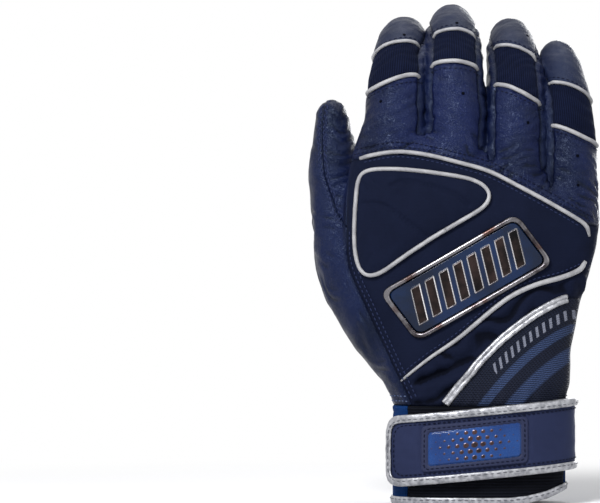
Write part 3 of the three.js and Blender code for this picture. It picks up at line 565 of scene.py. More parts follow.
above_knuckles = np.concatenate([knuckle_seam, [(FAR, 120), (FAR, FAR * 2), (-FAR / 5, FAR * 2)],
                                 on_back([(-0.44, 0.8), (-0.46, 0.7)])])
inside["knuckle_leather"] = np.where(
    (skin[:, 0] > -52), np.minimum(within(seen, above_knuckles), behind), NOWHERE)
inside["back_panel"] = np.minimum(within(seen, np.concatenate([
    lower_seam, [(FAR, lower_seam[-1, 1] + 5), (FAR, knuckle_seam[-1, 1])],
    knuckle_seam[::-1], side_seam[side_seam[:, 1] > lower_seam[0, 1]]])), behind)
inside["wrist_back_panel"] = np.minimum(within(seen, np.concatenate([
    diagonal_seam, [(FAR, diagonal_seam[-1, 1]), (FAR, lower_seam[-1, 1] + 5)],
    lower_seam[::-1], side_seam[side_seam[:, 1] < lower_seam[0, 1]]])), behind)
below_diagonal = within(seen, np.concatenate([
    diagonal_seam, [(FAR, diagonal_seam[-1, 1]), (FAR, 0), (diagonal_seam[0, 0], 0)]]))
inside["diagonal_strap"] = np.minimum(below_diagonal, behind)

thumb_low, thumb_high = (follow(THUMB_ROWS, share)[:3] * HAND_SIZE for share in (0.3, 0.9))
thumb_middle = thumb_low[1] + (skin[:, 2] - thumb_low[2]) * (
    (thumb_high[1] - thumb_low[1]) / (thumb_high[2] - thumb_low[2]))
inside["thumb_patch"] = np.minimum(within(seen, np.concatenate([
    zigzag_seam, on_back([(-0.41, 0.55), (-0.41, 0.68), (-0.39, 0.86)])])),
    thumb_middle - skin[:, 1])


def beyond(seam):
    return np.concatenate([seam, [(seam[-1, 0], 0), (-FAR, 0), (-FAR, zigzag_seam[0, 1])]])


inside["thumb_outer_leather"] = np.maximum(
    np.minimum(within(seen, beyond(np.concatenate([zigzag_seam, side_seam]))),
               thumb_middle - skin[:, 1]),
    np.minimum(within(seen, beyond(palm_seam)), skin[:, 1] - thumb_middle))

taken = np.full(len(skin), NOWHERE)
for piece in inside:
    own = inside[piece]
    inside[piece] = np.minimum(own, -taken)
    taken = np.maximum(taken, own)
inside["palm_leather"] = -taken
for piece in inside:
    inside[piece] = np.minimum(inside[piece], skin[:, 2] - WRIST_SEAM)


def cut(field, *carried, faces=triangles):
    """Part of a surface where the field is positive, cut cleanly along its zero line."""
    positive = field > 0
    count = positive[faces].sum(1)
    whole = faces[count == 3]
    rows = []
    new_edges = []
    for t, c in ((faces[count == 1], 1), (faces[count == 2], 2)):
        if len(t) == 0:
            continue
        odd = positive[t] if c == 1 else ~positive[t]
        first = odd.argmax(1)
        order = (first[:, None] + np.arange(3)) % 3
        t = np.take_along_axis(t, order, 1)
        rows.append((c, t))
        new_edges += [t[:, [0, 1]], t[:, [0, 2]]]
    edges = np.sort(np.concatenate(new_edges), 1)
    edges, position = np.unique(edges, axis=0, return_inverse=True)
    position = position.ravel()
    fa, fb = field[edges[:, 0]], field[edges[:, 1]]
    share = np.clip(fa / (fa - fb), 0, 1)
    base = len(field)
    pieces, used = [whole], 0
    for c, t in rows:
        p = base + position[used:used + len(t)]
        q = base + position[used + len(t):used + 2 * len(t)]
        used += 2 * len(t)
        if c == 1:
            pieces.append(np.stack([t[:, 0], p, q], 1))
        else:
            pieces += [np.stack([p, t[:, 1], t[:, 2]], 1), np.stack([p, t[:, 2], q], 1)]
    faces = np.concatenate(pieces)
    keep, faces = np.unique(faces, return_inverse=True)
    faces = faces.reshape(-1, 3)
    out = []
    for values in (field, *carried):
        shape = (-1,) + (1,) * (values.ndim - 1)
        w = share.reshape(shape)
        mixed = values[edges[:, 0]] * (1 - w) + values[edges[:, 1]] * w
        out.append(np.concatenate([values, mixed])[keep])
    return faces, out


def largest(faces, count):
    """Faces of the largest connected part."""
    group = np.arange(count)
    while True:
        least = group[faces].min(1)
        before = group.copy()
        for k in range(3):
            np.minimum.at(group, faces[:, k], least)
        group = group[group]
        if (group == before).all():
            break
    names, sizes_of = np.unique(group[faces[:, 0]], return_counts=True)
    return faces[group[faces[:, 0]] == names[sizes_of.argmax()]]


# Relief of the worn hide: creases at the joints, wrinkles over the knuckles, dents, folds and
# the lines of the palm, as a glove keeps them from the hand that wore it.
def rough(points, size, seed):
    """Smooth noise between about -1 and 1, with dents of the given size."""
    places = np.asarray(points, float) / size + (seed * 7.3, seed * 3.1, seed * 5.7)
    return np.array([noise.noise(Vector(p)) for p in places]) * 1.6


def ridge(value, width):
    return np.exp(-(value / width) ** 2)


skin_normals = normals_of(skin, triangles)
big_dents = rough(skin, 17, 1)
small_dents = rough(skin, 6.5, 2)
relief = 0.4 * big_dents + 0.16 * small_dents
for k, (name, finger) in enumerate(FINGER.items()):
    s_along, s_angle, s_size = located[name]
    leaning = s_angle * (1 if k % 2 else -1)
    mine = ease((1.7 - s_size) / 0.3) * (owner == k)
    palm_side = ease((np.abs(s_angle) - 1.5) / 0.8) * mine
    back_side = ease((1.5 - np.abs(s_angle)) / 0.5) * mine
    # Creases over the palm side of the joints, each between two low folds
    wander = 1.1 * rough(skin, 9, 10 + k)
    for joint, depth in zip((*finger.joints, 9.0), (1.0, 0.75, 0.6)):
        relief -= palm_side * depth * ridge(s_along - joint + wander, 1.2)
        relief -= palm_side * 0.35 * ridge(s_along - joint + 4.5 + wander * 1.4, 1.3)
        relief += palm_side * 0.45 * ridge(s_along - joint + 2.2 + wander, 1.6)
        relief += palm_side * 0.35 * ridge(s_along - joint - 2.6 + wander, 1.8)
    for joint, spread in zip((*finger.joints, 6.0), (4.5, 3.5, 5.0)):
        relief += palm_side * 0.36 * ridge(s_along - joint, spread) * np.sin(
            (s_along + 1.6 * rough(skin, 8, 60 + k)) * 1.9) * ease(0.8 + rough(skin, 6, 64))
    # Wrinkles of the knuckle, and the swelling of the finger beyond it
    knuckle = ease((s_along + 6) / 6) * ease((24 - s_along) / 12) * back_side \
        * ease(inside["knuckle_leather"] / 3)
    relief += knuckle * 0.09 * np.sin((s_along + s_angle * 4
                                       + 2.4 * rough(skin, 6, 70 + k)) * 2.1)
    relief += knuckle * 0.65 * np.sin((s_along + 3.4 * rough(skin, 11, 20 + k)
                                       + leaning * 7) * 1.15) \
        * ease(0.6 + rough(skin, 8, 30 + k))
    swell = ease((s_along - 12) / 12) * ease((finger.flex[0] - s_along) / 8) * back_side
    relief += swell * (0.5 * ridge(s_along - finger.flex[0] * 0.62, 9)
                       - 0.5 * ridge(s_along - 14 + leaning * 7, 3))
    on_tip = ease((s_along - finger.flex[1]) / 4)
    relief += back_side * ease((s_along - 14) / 8) * (0.16 - 0.1 * on_tip) * np.sin(
        (s_along + leaning * 5.4 + 2.5 * rough(skin, 10, 40 + k)) * 1.3)

# Folds at the wrist, in its cloth and in the side of the thumb
fold_line = (skin[:, 2] - 63.5) - (skin[:, 0] + 2) * 0.42
near_fold = ease((skin[:, 0] + 24) / 8) * ease((14 - skin[:, 0]) / 10) * (skin[:, 1] < 0)
relief += near_fold * (1.9 * ridge(fold_line + 4.2, 2.8) - 2.4 * ridge(fold_line, 1.7)
                       + 0.8 * ridge(fold_line - 4, 2.5))
wrist_cloth = ease(inside["wrist_back_panel"] / 4)
relief += wrist_cloth * 0.9 * np.sin(
    (skin[:, 2] * 0.9 - skin[:, 0] * 0.35 + 5 * rough(skin, 14, 50)) * 0.75)
side_leather = ease(inside["thumb_outer_leather"] / 4) * ease((skin[:, 2] - 50) / 15)
relief += side_leather * 0.4 * np.sin(
    (skin[:, 2] * 0.7 + skin[:, 0] * 0.8 + 6 * rough(skin, 13, 51)) * 0.8) \
    * ease(0.5 + rough(skin, 12, 52))
patch_leather = ease(inside["thumb_patch"] / 3)
relief += patch_leather * 0.3 * np.sin((skin[:, 2] + 4 * rough(skin, 9, 53)) * 1.1)

# The palm: its hollow and its two lines, the swellings below the fingers and below the little
# finger, slanting wrinkles, and gathers at the wrist
palm_front = ease((skin[:, 1] - 6) / 6) * (1 - on_finger)
hollow = np.array([6.0, 20, 112])
relief -= palm_front * 1.3 * ridge(np.linalg.norm((skin - hollow) / (1, 2, 1.3), axis=1), 21)
life_line = 40 - np.hypot(skin[:, 0] + 44, skin[:, 2] - 92)
relief -= palm_front * 0.5 * ridge(life_line + 2 * big_dents, 1.5) * ease((skin[:, 2] - 66) / 14)
heart_line = skin[:, 2] - 142 + 0.16 * skin[:, 0] + 0.004 * (skin[:, 0] - 10) ** 2
relief -= (palm_front * 0.4 * ridge(heart_line + 2 * big_dents, 1.6)
           * ease((skin[:, 0] + 30) / 20))
for name, finger in FINGER.items():
    base = finger.point(np.array([4.0]), np.array([math.pi]))[0]
    sideways = skin[:, 0] - base[0] - 0.1 * (base[2] - skin[:, 2])
    relief += palm_front * (0.9 * ridge(sideways, 6.5) - 0.35) * ease(
        (base[2] + 4 - skin[:, 2]) / 10) * ease((skin[:, 2] - 104) / 26)
mound = np.linalg.norm((skin - (36, 20, 92)) / (1, 2, 2.2), axis=1)
relief += palm_front * 1.2 * ridge(mound, 14)
slanting = (skin[:, 0] * 0.8 + skin[:, 2] * 0.5 + 7 * rough(skin, 24, 55)) * 0.42
relief += palm_front * 0.3 * np.sin(slanting) * ease((150 - skin[:, 2]) / 30)
near_wrist = ease((60 - skin[:, 2]) / 14)
gathers = np.sin(np.arctan2(skin[:, 1], skin[:, 0] - 11) * 26 + 5 * rough(skin, 16, 54))
relief += near_wrist * 0.35 * gathers * ease((skin[:, 2] - WRIST_SEAM) / 3)
# Painted shade and highlight: how deep each point lies below its smoothed neighbourhood, from -1
# on ridges to 1 in creases. The materials darken the colour in the creases and lighten it on the
# ridges.
crease_shade_and_highlight = np.clip((averaged(relief, 14) - relief) / 0.45, -1, 1)
skin = skin + skin_normals * relief[:, None]
skin_normals = normals_of(skin, triangles)


# Pipings: grey coated cords, sewn into the seams of the fingers and of the back, and all round
# the knuckle pad. Each follows its seam over the filled hand; its ends dip into the side seams.
skin_tree = BVHTree.FromPolygons([tuple(p) for p in skin.tolist()], triangles.tolist())


def settle(points, height):
    """Points moved on to the skin, then raised off it along its normal; and the normals."""
    placed, raised = [], []
    for p in points:
        near, _, face, _ = skin_tree.find_nearest(Vector(p))
        corners = triangles[face]
        weights = 1 / (np.linalg.norm(skin[corners] - np.array(near), axis=1) + 0.05)
        placed.append(np.array(near))
        raised.append(unit((skin_normals[corners] * weights[:, None]).sum(0)))
    placed, raised = np.array(placed), np.array(raised)
    return placed + raised * np.asarray(height).reshape(-1, 1), raised


def over_back(places, height=0.0, side=-1):
    """Points on the back of the hand from places across and up it, and their normals; with
    side 1 they are on the palm."""
    hits = []
    for x, z in places:
        hit = skin_tree.ray_cast(Vector((x, side * FAR, z)), Vector((0, -side, 0)))[0]
        hits.append(hit if hit is not None else (x, 0, z))
    return settle(hits, height)


def even(points, spacing):
    """The same line with points a spacing apart."""
    points = np.asarray(points, float)
    steps = np.linalg.norm(np.diff(points, axis=0), axis=1)
    gone = np.concatenate([[0], np.cumsum(steps)])
    count = max(2, int(round(gone[-1] / spacing)) + 1)
    want = np.linspace(0, gone[-1], count)
    return np.stack([np.interp(want, gone, points[:, k]) for k in range(points.shape[1])], 1)


def smoothed(points, times):
    points = np.array(points, float)
    for _ in range(times):
        points[1:-1] = points[1:-1] * 0.5 + (points[:-2] + points[2:]) * 0.25
    return points


CORD_SIDES = 12


def frame_along(path, normals):
    """Directions across a path and up from it, square to it and to each other."""
    tangent = unit(np.gradient(path, axis=0))
    across = unit(np.cross(tangent, normals))
    return across, np.cross(across, tangent)


def cord_mesh(path, normals, radius):
    """Closed rod along a path."""
    across, up = frame_along(path, normals)
    radius = np.broadcast_to(radius, len(path))
    turns = -np.arange(CORD_SIDES) / CORD_SIDES * 2 * math.pi
    return tube([path[i] + across[i] * (np.cos(turns) * radius[i])[:, None]
                 + up[i] * (np.sin(turns) * radius[i])[:, None] for i in range(len(path))])


def dressed(made, finish, slot, body, *nodes):
    """The piece in its material, riding on its body in place of its CAD nodes."""
    made.data.shade_smooth()
    made.data.materials.append(finish)
    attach(made, body)
    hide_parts(*nodes)


def noise_node(tree, vector, scale, detail, roughness):
    return add_node(tree, "ShaderNodeTexNoise", {
        "Vector": vector, "Scale": scale, "Detail": detail,
        "Roughness": roughness}).outputs["Fac"]


class Finish:
    """Material under construction: its tree, its principled shader and its coordinates."""

    def __init__(self, name, roughness, metallic=0.0, **sockets):
        self.material = bpy.data.materials.new(name)
        self.material.use_nodes = True
        self.tree = self.material.node_tree
        self.shader = self.tree.nodes["Principled BSDF"]
        sockets.update(Roughness=roughness, Metallic=metallic)
        for socket, value in sockets.items():
            self.shader.inputs[socket.replace("_", " ")].default_value = value
        self.object = add_node(self.tree, "ShaderNodeTexCoord").outputs["Object"]

    def own_map(self):
        """Coordinates of the piece's own map, as its cloth was cut."""
        return add_node(self.tree, "ShaderNodeUVMap", uv_map="lay").outputs[0]

    def attribute(self, name):
        return add_node(self.tree, "ShaderNodeAttribute", attribute_name=name).outputs["Fac"]

    def math(self, operation, *values):
        return math_node(self.tree, operation, *values)

    def mapped(self, *values):
        return mapped(self.tree, *values)

    def noise(self, scale, detail, roughness):
        return noise_node(self.tree, self.object, scale, detail, roughness)

    def group(self, tree, vector, **values):
        return add_node(self.tree, "ShaderNodeGroup", {"Vector": vector, **values},
                        node_tree=tree).outputs

    def mix(self, factor, first, second):
        first, second = (value if isinstance(value, bpy.types.NodeSocket) else (*value, 1)
                         for value in (first, second))
        return add_node(self.tree, "ShaderNodeMix", {0: factor, 6: first, 7: second},
                        data_type="RGBA").outputs[2]

    def bump(self, height, distance):
        return add_node(self.tree, "ShaderNodeBump", {
            "Strength": 1.0, "Distance": distance, "Height": height}).outputs[0]

    def done(self, color, normal=None, roughness=None, **sockets):
        sockets.update({"Base Color": color, "Normal": normal, "Roughness": roughness})
        fill(self.tree, self.shader, {
            socket.replace("_", " "): value for socket, value in sockets.items()
            if value is not None})
        return self.material


def paint(*shades):
    """Shades as they look on a screen, from 0 to 255, in the renderer's own scale."""
    return tuple((v / 255 / 12.92) if v <= 10 else ((v / 255 + 0.055) / 1.055) ** 2.4
                 for v in shades)


f = Finish("grey_cord", roughness=0.5, metallic=0.1, Specular_IOR_Level=0.2)
fine = f.noise(900, 3, 0.6)
broad = f.noise(160, 3, 0.6)
color = f.mix(f.mapped(broad, 0.3, 0.7), paint(134, 134, 138), paint(160, 160, 163))
piping_finish = f.done(color, f.bump(fine, 0.08 * MM))
PIPING_RADIUS, UPPER_RADIUS = 1.0, 0.85
pad_outline = on_back([
    (-0.4, 0.661), (-0.33, 0.667), (-0.2, 0.665), (-0.064, 0.657), (0.06, 0.647),
    (0.13, 0.63), (0.148, 0.613), (0.125, 0.592), (0.03, 0.566), (-0.107, 0.528),
    (-0.244, 0.484), (-0.312, 0.46), (-0.367, 0.453), (-0.395, 0.467), (-0.413, 0.5),
    (-0.418, 0.54), (-0.413, 0.6), (-0.4, 0.661)], 160)[:-1]
for _ in range(10):
    pad_outline = pad_outline * 0.5 + (
        np.roll(pad_outline, 1, axis=0) + np.roll(pad_outline, -1, axis=0)) * 0.25


def piping(name, path, normals, sink=0.35, radius=PIPING_RADIUS, dipping=1.2, passes=3):
    """Cord in a seam: it sinks in a little, and its ends dip into the seams that it meets."""
    ends = np.minimum(np.arange(len(path)), np.arange(len(path))[::-1]) / 4
    dip = (1 - ease(ends)) * dipping
    path, normals = smoothed(path, passes), smoothed(normals, passes)
    path = path + normals * (radius - sink - dip)[:, None]
    made = make_mesh(name + "_cord", *cord_mesh(path, normals, radius))
    dressed(made, piping_finish, "grey_piping", "glove", name)


for name, finger in FINGER.items():
    start_angle = math.radians(-84 if name == "index" else -57)
    end_angle = math.radians(84 if name == "little" else 57)
    for which, level in (("lower", finger.flex[0]), ("upper", finger.flex[1])):
        turns = np.linspace(start_angle, end_angle, 50)
        arc = finger.point(level + finger.slope * np.sin(turns), turns)
        path, normals = settle(even(arc, 0.9), 0)
        piping(name + "_" + which + "_piping", path, normals,
               radius=PIPING_RADIUS if which == "lower" else UPPER_RADIUS)
knuckle_turn = on_back([(0.562, 0.551), (0.566, 0.543), (0.567, 0.534)])
path, normals = over_back(even(np.concatenate([knuckle_seam[7:], knuckle_turn]), 1.2))
piping("knuckle_piping", path, normals, passes=14)
lower_turn = on_back([(0.542, 0.474), (0.55, 0.483)])
path, normals = over_back(even(np.concatenate([lower_seam, lower_turn]), 1.2))
growing = np.interp(np.linspace(0, 1, len(path)), [0, 0.35, 1], [0.6, 1.0, 1.25])
piping("lower_piping", path, normals, radius=growing, passes=10)
pad_start = len(pad_outline) // 2
around_pad = np.roll(pad_outline, pad_start, axis=0)
path, normals = over_back(even(np.concatenate([around_pad, around_pad[:1]]), 1.2))
path[-1], normals[-1] = path[0], normals[0]
piping("pad_piping", path, normals, sink=-0.6, dipping=0, passes=14)

# Tips and flex panels: over each nail a hide a little duller than the rest, and over the
# middle joint a ribbed knit that stretches. Like every piece of hide and cloth, each is cut to
# its pattern and sewn edge to edge with its neighbours, its seam allowance turned in.
LEATHER = 1.2


def node_group(kind, name, inputs, outputs):
    """Empty tree of nodes, with the outputs of its input node and its output node."""
    tree = bpy.data.node_groups.new(name, kind)
    for way, sockets in (("INPUT", inputs), ("OUTPUT", outputs)):
        for socket, what, value in sockets:
            made = tree.interface.new_socket(socket, in_out=way, socket_type="NodeSocket" + what)
            if value is not None:
                made.default_value = value
    return tree, tree.nodes.new("NodeGroupInput").outputs, tree.nodes.new("NodeGroupOutput")


# Hide grain: pebbles between fine furrows, with pores and faint creases; sizes per metre
grain, given, result = node_group(
    "ShaderNodeTree", "hide_grain",
    [("Vector", "Vector", None), ("Pebbles", "Float", 900.0), ("Depth", "Float", 1.0),
     ("Creases", "Float", 0.3)],
    [("Height", "Float", None), ("Furrow", "Float", None), ("Patch", "Float", None)])
warp = add_node(grain, "ShaderNodeTexNoise", {"Vector": given["Vector"], "Scale": 260})
warped = add_node(grain, "ShaderNodeMix", {
    "Factor": 0.0022, 4: given["Vector"], 5: warp.outputs["Color"]}, data_type="VECTOR")
cells = add_node(grain, "ShaderNodeTexVoronoi", {
    "Vector": warped.outputs[1], "Scale": given["Pebbles"]}, feature="DISTANCE_TO_EDGE")
pebble = mapped(grain, cells.outputs["Distance"], 0.0, 0.28)
coarse = noise_node(grain, given["Vector"], 150, 4, 0.6)
crease_noise = noise_node(grain, given["Vector"], 300, 5, 0.7)
crease = math_node(grain, "ABSOLUTE", math_node(grain, "SUBTRACT", crease_noise, 0.5))
crease = mapped(grain, crease, 0.0, 0.05)
height = math_node(grain, "ADD", math_node(grain, "MULTIPLY", pebble, given["Depth"]),
                   math_node(grain, "MULTIPLY", crease, given["Creases"]))
height = math_node(grain, "ADD", height, math_node(grain, "MULTIPLY", coarse, 0.8))
fill(grain, result, {"Height": height, "Furrow": math_node(grain, "SUBTRACT", 1.0, pebble),
                     "Patch": mapped(grain, coarse, 0.3, 0.7)})

# Weave: threads one way and the other over a piece's own map, in threads per metre
weave, given, result = node_group(
    "ShaderNodeTree", "weave",
    [("Vector", "Vector", None), ("Across", "Float", 1400.0), ("Along", "Float", 1400.0),
     ("Share", "Float", 0.5)], [("Height", "Float", None), ("Fuzz", "Float", None)])
split = add_node(weave, "ShaderNodeSeparateXYZ", {0: given["Vector"]}).outputs
threads = []
for axis, socket in ((0, "Across"), (1, "Along")):
    turn = math_node(weave, "MULTIPLY", split[axis], given[socket])
    wave = math_node(weave, "SINE", math_node(weave, "MULTIPLY", turn, 2 * math.pi))
    threads.append(math_node(weave, "MULTIPLY_ADD", wave, 0.5, 0.5))
woven = add_node(weave, "ShaderNodeMix", {
    "Factor": given["Share"], 2: threads[0], 3: threads[1]})
fill(weave, result, {"Height": woven.outputs[0],
                     "Fuzz": noise_node(weave, given["Vector"], 900, 4, 0.7)})

# Handling marks: broad lighter and darker areas, in spots per metre
marks, given, result = node_group(
    "ShaderNodeTree", "handling_marks", [("Vector", "Vector", None), ("Size", "Float", 35.0)],
    [("Mask", "Float", None)])
cloud = noise_node(marks, given["Vector"], given["Size"], 5, 0.6)
fill(marks, result, {"Mask": mapped(marks, cloud, 0.32, 0.68)})


def folded(f, color, dark, light):
    """Painted shade and highlight: darker deep in the folds, as if shaded there, and a little
    lighter on their backs, as if lit.
    """
    crease_shade = f.attribute("crease")
    color = f.mix(f.mapped(crease_shade, -0.15, -0.95, 0, 0.45), color, tuple(v * 1.6 for v in light))
    return f.mix(f.mapped(crease_shade, 0.12, 0.95, 0, 0.8), color, tuple(v * 0.2 for v in dark))


def hide_finish(name, dark, light, pebbles, depth, creases, roughness, bump, gloss=0.22):
    f = Finish(name, roughness, Specular_IOR_Level=gloss, Specular_Tint=(0.56, 0.7, 1, 1))
    g = f.group(grain, f.object, Pebbles=pebbles, Depth=depth, Creases=creases)
    color = f.mix(f.group(marks, f.object, Size=28.0)["Mask"], dark, light)
    color = f.mix(f.math("MULTIPLY", g["Furrow"], 0.3), color, tuple(v * 0.35 for v in dark))
    worn = f.mapped(g["Patch"], 0, 1, roughness - 0.06, roughness + 0.08)
    return f.done(folded(f, color, dark, light), f.bump(g["Height"], bump * MM), worn)


def knit_finish(name, dark, light, across, lengthwise, share, roughness, bump, sheen=0.03):
    f = Finish(name, roughness, Sheen_Weight=sheen, Sheen_Roughness=0.4,
               Sheen_Tint=(0.35, 0.45, 0.9, 1), Specular_IOR_Level=0.05)
    w = f.group(weave, f.own_map(), Across=across, Along=lengthwise, Share=share)
    worn = f.math("MULTIPLY", f.group(marks, f.object, Size=45.0)["Mask"], 0.35)
    color = f.mix(worn, f.mix(w["Height"], dark, light), tuple(v * 0.6 for v in dark))
    total = f.math("MULTIPLY_ADD", w["Fuzz"], 0.5, w["Height"])
    return f.done(folded(f, color, dark, light), f.bump(total, bump * MM))


def lay_map(made, values):
    """The piece's own map, from one pair of values for each point, in metres."""
    layer = made.data.uv_layers.new(name="lay")
    corner = np.empty(len(made.data.loops), int)
    made.data.loops.foreach_get("vertex_index", corner)
    layer.data.foreach_set("uv", (np.asarray(values)[corner] * MM).astype(np.float32).ravel())


def mark_points(made, name, values):
    """Attribute of the piece's points: a number or a direction for each."""
    values = np.asarray(values, np.float32)
    kind, key = ("FLOAT", "value") if values.ndim == 1 else ("FLOAT_VECTOR", "vector")
    layer = made.data.attributes.new(name, kind, "POINT")
    layer.data.foreach_set(key, values.ravel())


def closed_shell(name, outer, inner, faces):
    """Solid between two copies of a surface, joined round its edges."""
    edges, n = edges_of(faces), len(outer)
    rim = edges[~np.isin(edges[:, 0] * n + edges[:, 1], edges[:, 1] * n + edges[:, 0])]
    walls = np.concatenate([np.stack([rim[:, 1], rim[:, 0], rim[:, 0] + n], 1),
                            np.stack([rim[:, 1], rim[:, 0] + n, rim[:, 1] + n], 1)])
    return make_mesh(name, np.concatenate([outer, inner]),
                     np.concatenate([faces, faces[:, ::-1] + n, walls]))


def panel(name, profile, finish, slot, chart=None):
    """Closed piece of leather or cloth: the outer face follows a profile, a function of the
    distance from its seams, and the inner face lies one thickness inside the skin."""
    faces, carried = cut(inside[name], skin, skin_normals,
                         seen if chart is None else chart, crease_shade_and_highlight)
    keep, faces = np.unique(largest(faces, len(carried[0])), return_inverse=True)
    depth, points, normals, chart, folds = (values[keep] for values in carried)
    # Painted shade: a strip beside each seam is darkened as if shaded in its groove. This adds to
    # the painted shade and highlight of the creases, which the outer face carries in its "crease"
    # attribute.
    folds = np.maximum(folds, ridge(depth - 0.3, 1.1) * 0.55)
    normals = unit(normals)
    made = closed_shell(name + "_skin", points + normals * profile(depth, points)[:, None],
                        points - normals * LEATHER, faces.reshape(-1, 3))
    lay_map(made, np.concatenate([chart, chart]))
    mark_points(made, "crease", np.concatenate([folds, folds * 0]))
    dressed(made, finish, slot, "glove", name)


def turned_in(depth, points):
    """Leather turned in at a seam: a groove, then a low ridge beside it."""
    return 0.35 - 0.8 * ridge(depth, 0.7) + 0.16 * ridge(depth - 1.8, 0.8)


def flat_cloth(depth, points):
    return 0.1 - 0.6 * ridge(depth, 0.9)


tip_finish = hide_finish(
    "tip_hide", paint(12, 18, 40), paint(20, 27, 52), pebbles=1300.0, depth=0.4, creases=0.4,
    roughness=0.5, bump=0.08)
rib_finish = knit_finish(
    "ribbed_knit", paint(5, 8, 20), paint(17, 24, 50), across=900.0, lengthwise=1900.0,
    share=0.2, roughness=0.85, bump=0.22)
finger_chart = np.stack([angle * ROUND_FINGER, along], 1)
for name in FINGER:
    panel(name + "_tip_back", turned_in, tip_finish, "grained_leather")
    panel(name + "_flex_panel", flat_cloth, rib_finish, "rib_knit", finger_chart)


# Fourchettes: strips of soft hide between neighbouring fingers, each one V-shaped piece that
# runs down one finger, round the crotch and up the next, rolled outwards between its seams.
def rolled(depth, points):
    """Side strip that rolls outwards between two seams and puckers along its stitches."""
    pucker = 0.45 * rough(points * (1, 1, 1.5), 5.5, 61)
    return 0.1 - 0.9 * ridge(depth, 0.8) + (0.8 + pucker) * ease(depth / 3)


side_finish = hide_finish(
    "side_hide", paint(5, 11, 34), paint(13, 22, 56), pebbles=1300.0, depth=0.5, creases=0.6,
    roughness=0.36, bump=0.12, gloss=0.2)
for name in CROTCHES:
    panel(name, rolled, side_finish, "side_leather")

# Knuckle leather: one grained hide over the knuckles and the first bones of the fingers, sewn
# to the flex panels above it, the fourchettes at the sides and the back cloth below.
grained_finish = hide_finish(
    "grained_hide", paint(5, 11, 38), paint(17, 25, 64), pebbles=1000.0, depth=1.0, creases=0.5,
    roughness=0.34, bump=0.12, gloss=0.21)
panel("knuckle_leather", turned_in, grained_finish, "grained_leather")

# Back of the hand and of the wrist: two pieces of smooth stretch cloth on either side of the
# lower piping, of which the lower one lies in folds where the wrist bends.
cloth_finish = knit_finish(
    "stretch_cloth", paint(12, 17, 34), paint(19, 25, 46), across=2300.0, lengthwise=1500.0,
    share=0.35, roughness=0.8, bump=0.07)
panel("back_panel", flat_cloth, cloth_finish, "stretch_cloth")
panel("wrist_back_panel", flat_cloth, cloth_finish, "stretch_cloth")


# Diagonal strap: woven mesh from the wrist to the little-finger edge, sewn in under its silver
# binding. It has fine slanted lines, two lighter blue stripes and a row of printed dashes.
STRAP_SLOPE = math.radians(38)
LINES_PER_METRE, DASHES_PER_METRE = 760, 270.0


def band(f, value, first, last, edge):
    """1 between two values and 0 outside them."""
    return f.math("MULTIPLY", f.mapped(value, first, first + edge),
                  f.mapped(value, last - edge, last, 1, 0))


f = Finish("woven_mesh", roughness=0.7, Specular_IOR_Level=0.12)
lay = f.own_map()
w = f.group(weave, lay, Across=750.0, Along=1050.0, Share=0.5)
run_along, run_across, _ = add_node(f.tree, "ShaderNodeSeparateXYZ", {0: lay}).outputs
bands = f.math("ADD", band(f, run_across, -0.0165, -0.0115, 0.001),
               band(f, run_across, -0.0285, -0.021, 0.0014))
slant = f.math("MULTIPLY", f.math("ADD", run_along, run_across), 2 * math.pi * LINES_PER_METRE)
lines = f.math("MULTIPLY_ADD", f.math("SINE", slant), 0.5, 0.5)
color = f.mix(w["Height"], paint(7, 10, 20), paint(22, 28, 46))
striped = f.math("MULTIPLY", bands, f.math("MULTIPLY_ADD", lines, 0.85, 0.1))
color = f.mix(striped, color, paint(54, 70, 106))
leaning = f.math("MULTIPLY_ADD", run_across, -0.55, run_along)
dashes = band(f, f.math("FRACT", f.math("MULTIPLY", leaning, DASHES_PER_METRE)), 0.22, 0.7, 0.1)
printed = f.math("MULTIPLY", dashes, f.math(
    "MULTIPLY", band(f, run_across, -0.0098, -0.0052, 0.0003),
    band(f, run_along, 0.052, 0.0995, 0.0005)))
color = f.mix(printed, color, paint(112, 116, 130))
mesh_finish = f.done(color, f.bump(f.math("ADD", w["Height"], lines), 0.16 * MM))
downhill = np.array([math.cos(STRAP_SLOPE), math.sin(STRAP_SLOPE)])
panel("diagonal_strap", flat_cloth, mesh_finish, "woven_strap",
      np.stack([seen @ downhill, -below_diagonal], 1))


# Thumb: a side piece that wraps its outer side and a patch on its back, both of the soft side
# hide, lapped over each other and sewn flat with a zigzag seam.
def lapped(depth, points):
    """Leather lapped over the next piece and sewn flat with a zigzag."""
    return 0.35 - 0.45 * ridge(depth, 0.6)


panel("thumb_patch", lapped, side_finish, "side_leather")
panel("thumb_outer_leather", lapped, side_finish, "side_leather")

# Palm: one smooth hide for the palm and the fronts of the fingers and of the thumb, creased
# where the hand closes round a bat, and sewn to the cuff at the wrist.
palm_finish = hide_finish(
    "smooth_hide", paint(3, 8, 36), paint(9, 15, 58), pebbles=1500.0, depth=0.35, creases=0.55,
    roughness=0.34, bump=0.08, gloss=0.2)
panel("palm_leather", turned_in, palm_finish, "palm_leather")


# Cuff: blue neoprene round the palm side of the wrist, knit outside and foam inside. It is cut
# to a flat pattern and sewn to the leather above it and to the elastic at the thumb side.
WRIST_HEIGHT = 25.0
NEOPRENE = 0.8
GAP = 0.3
wrist_turns = np.linspace(-3 * math.pi, 3 * math.pi, 6001)
CUFF_ROWS = 3
row_shares = np.linspace(0, CUFF_ROWS / (len(PALM_ROWS) - 1), 60)
row_heights = follow(PALM_ROWS, row_shares)[:, 0] * GLOVE_LENGTH


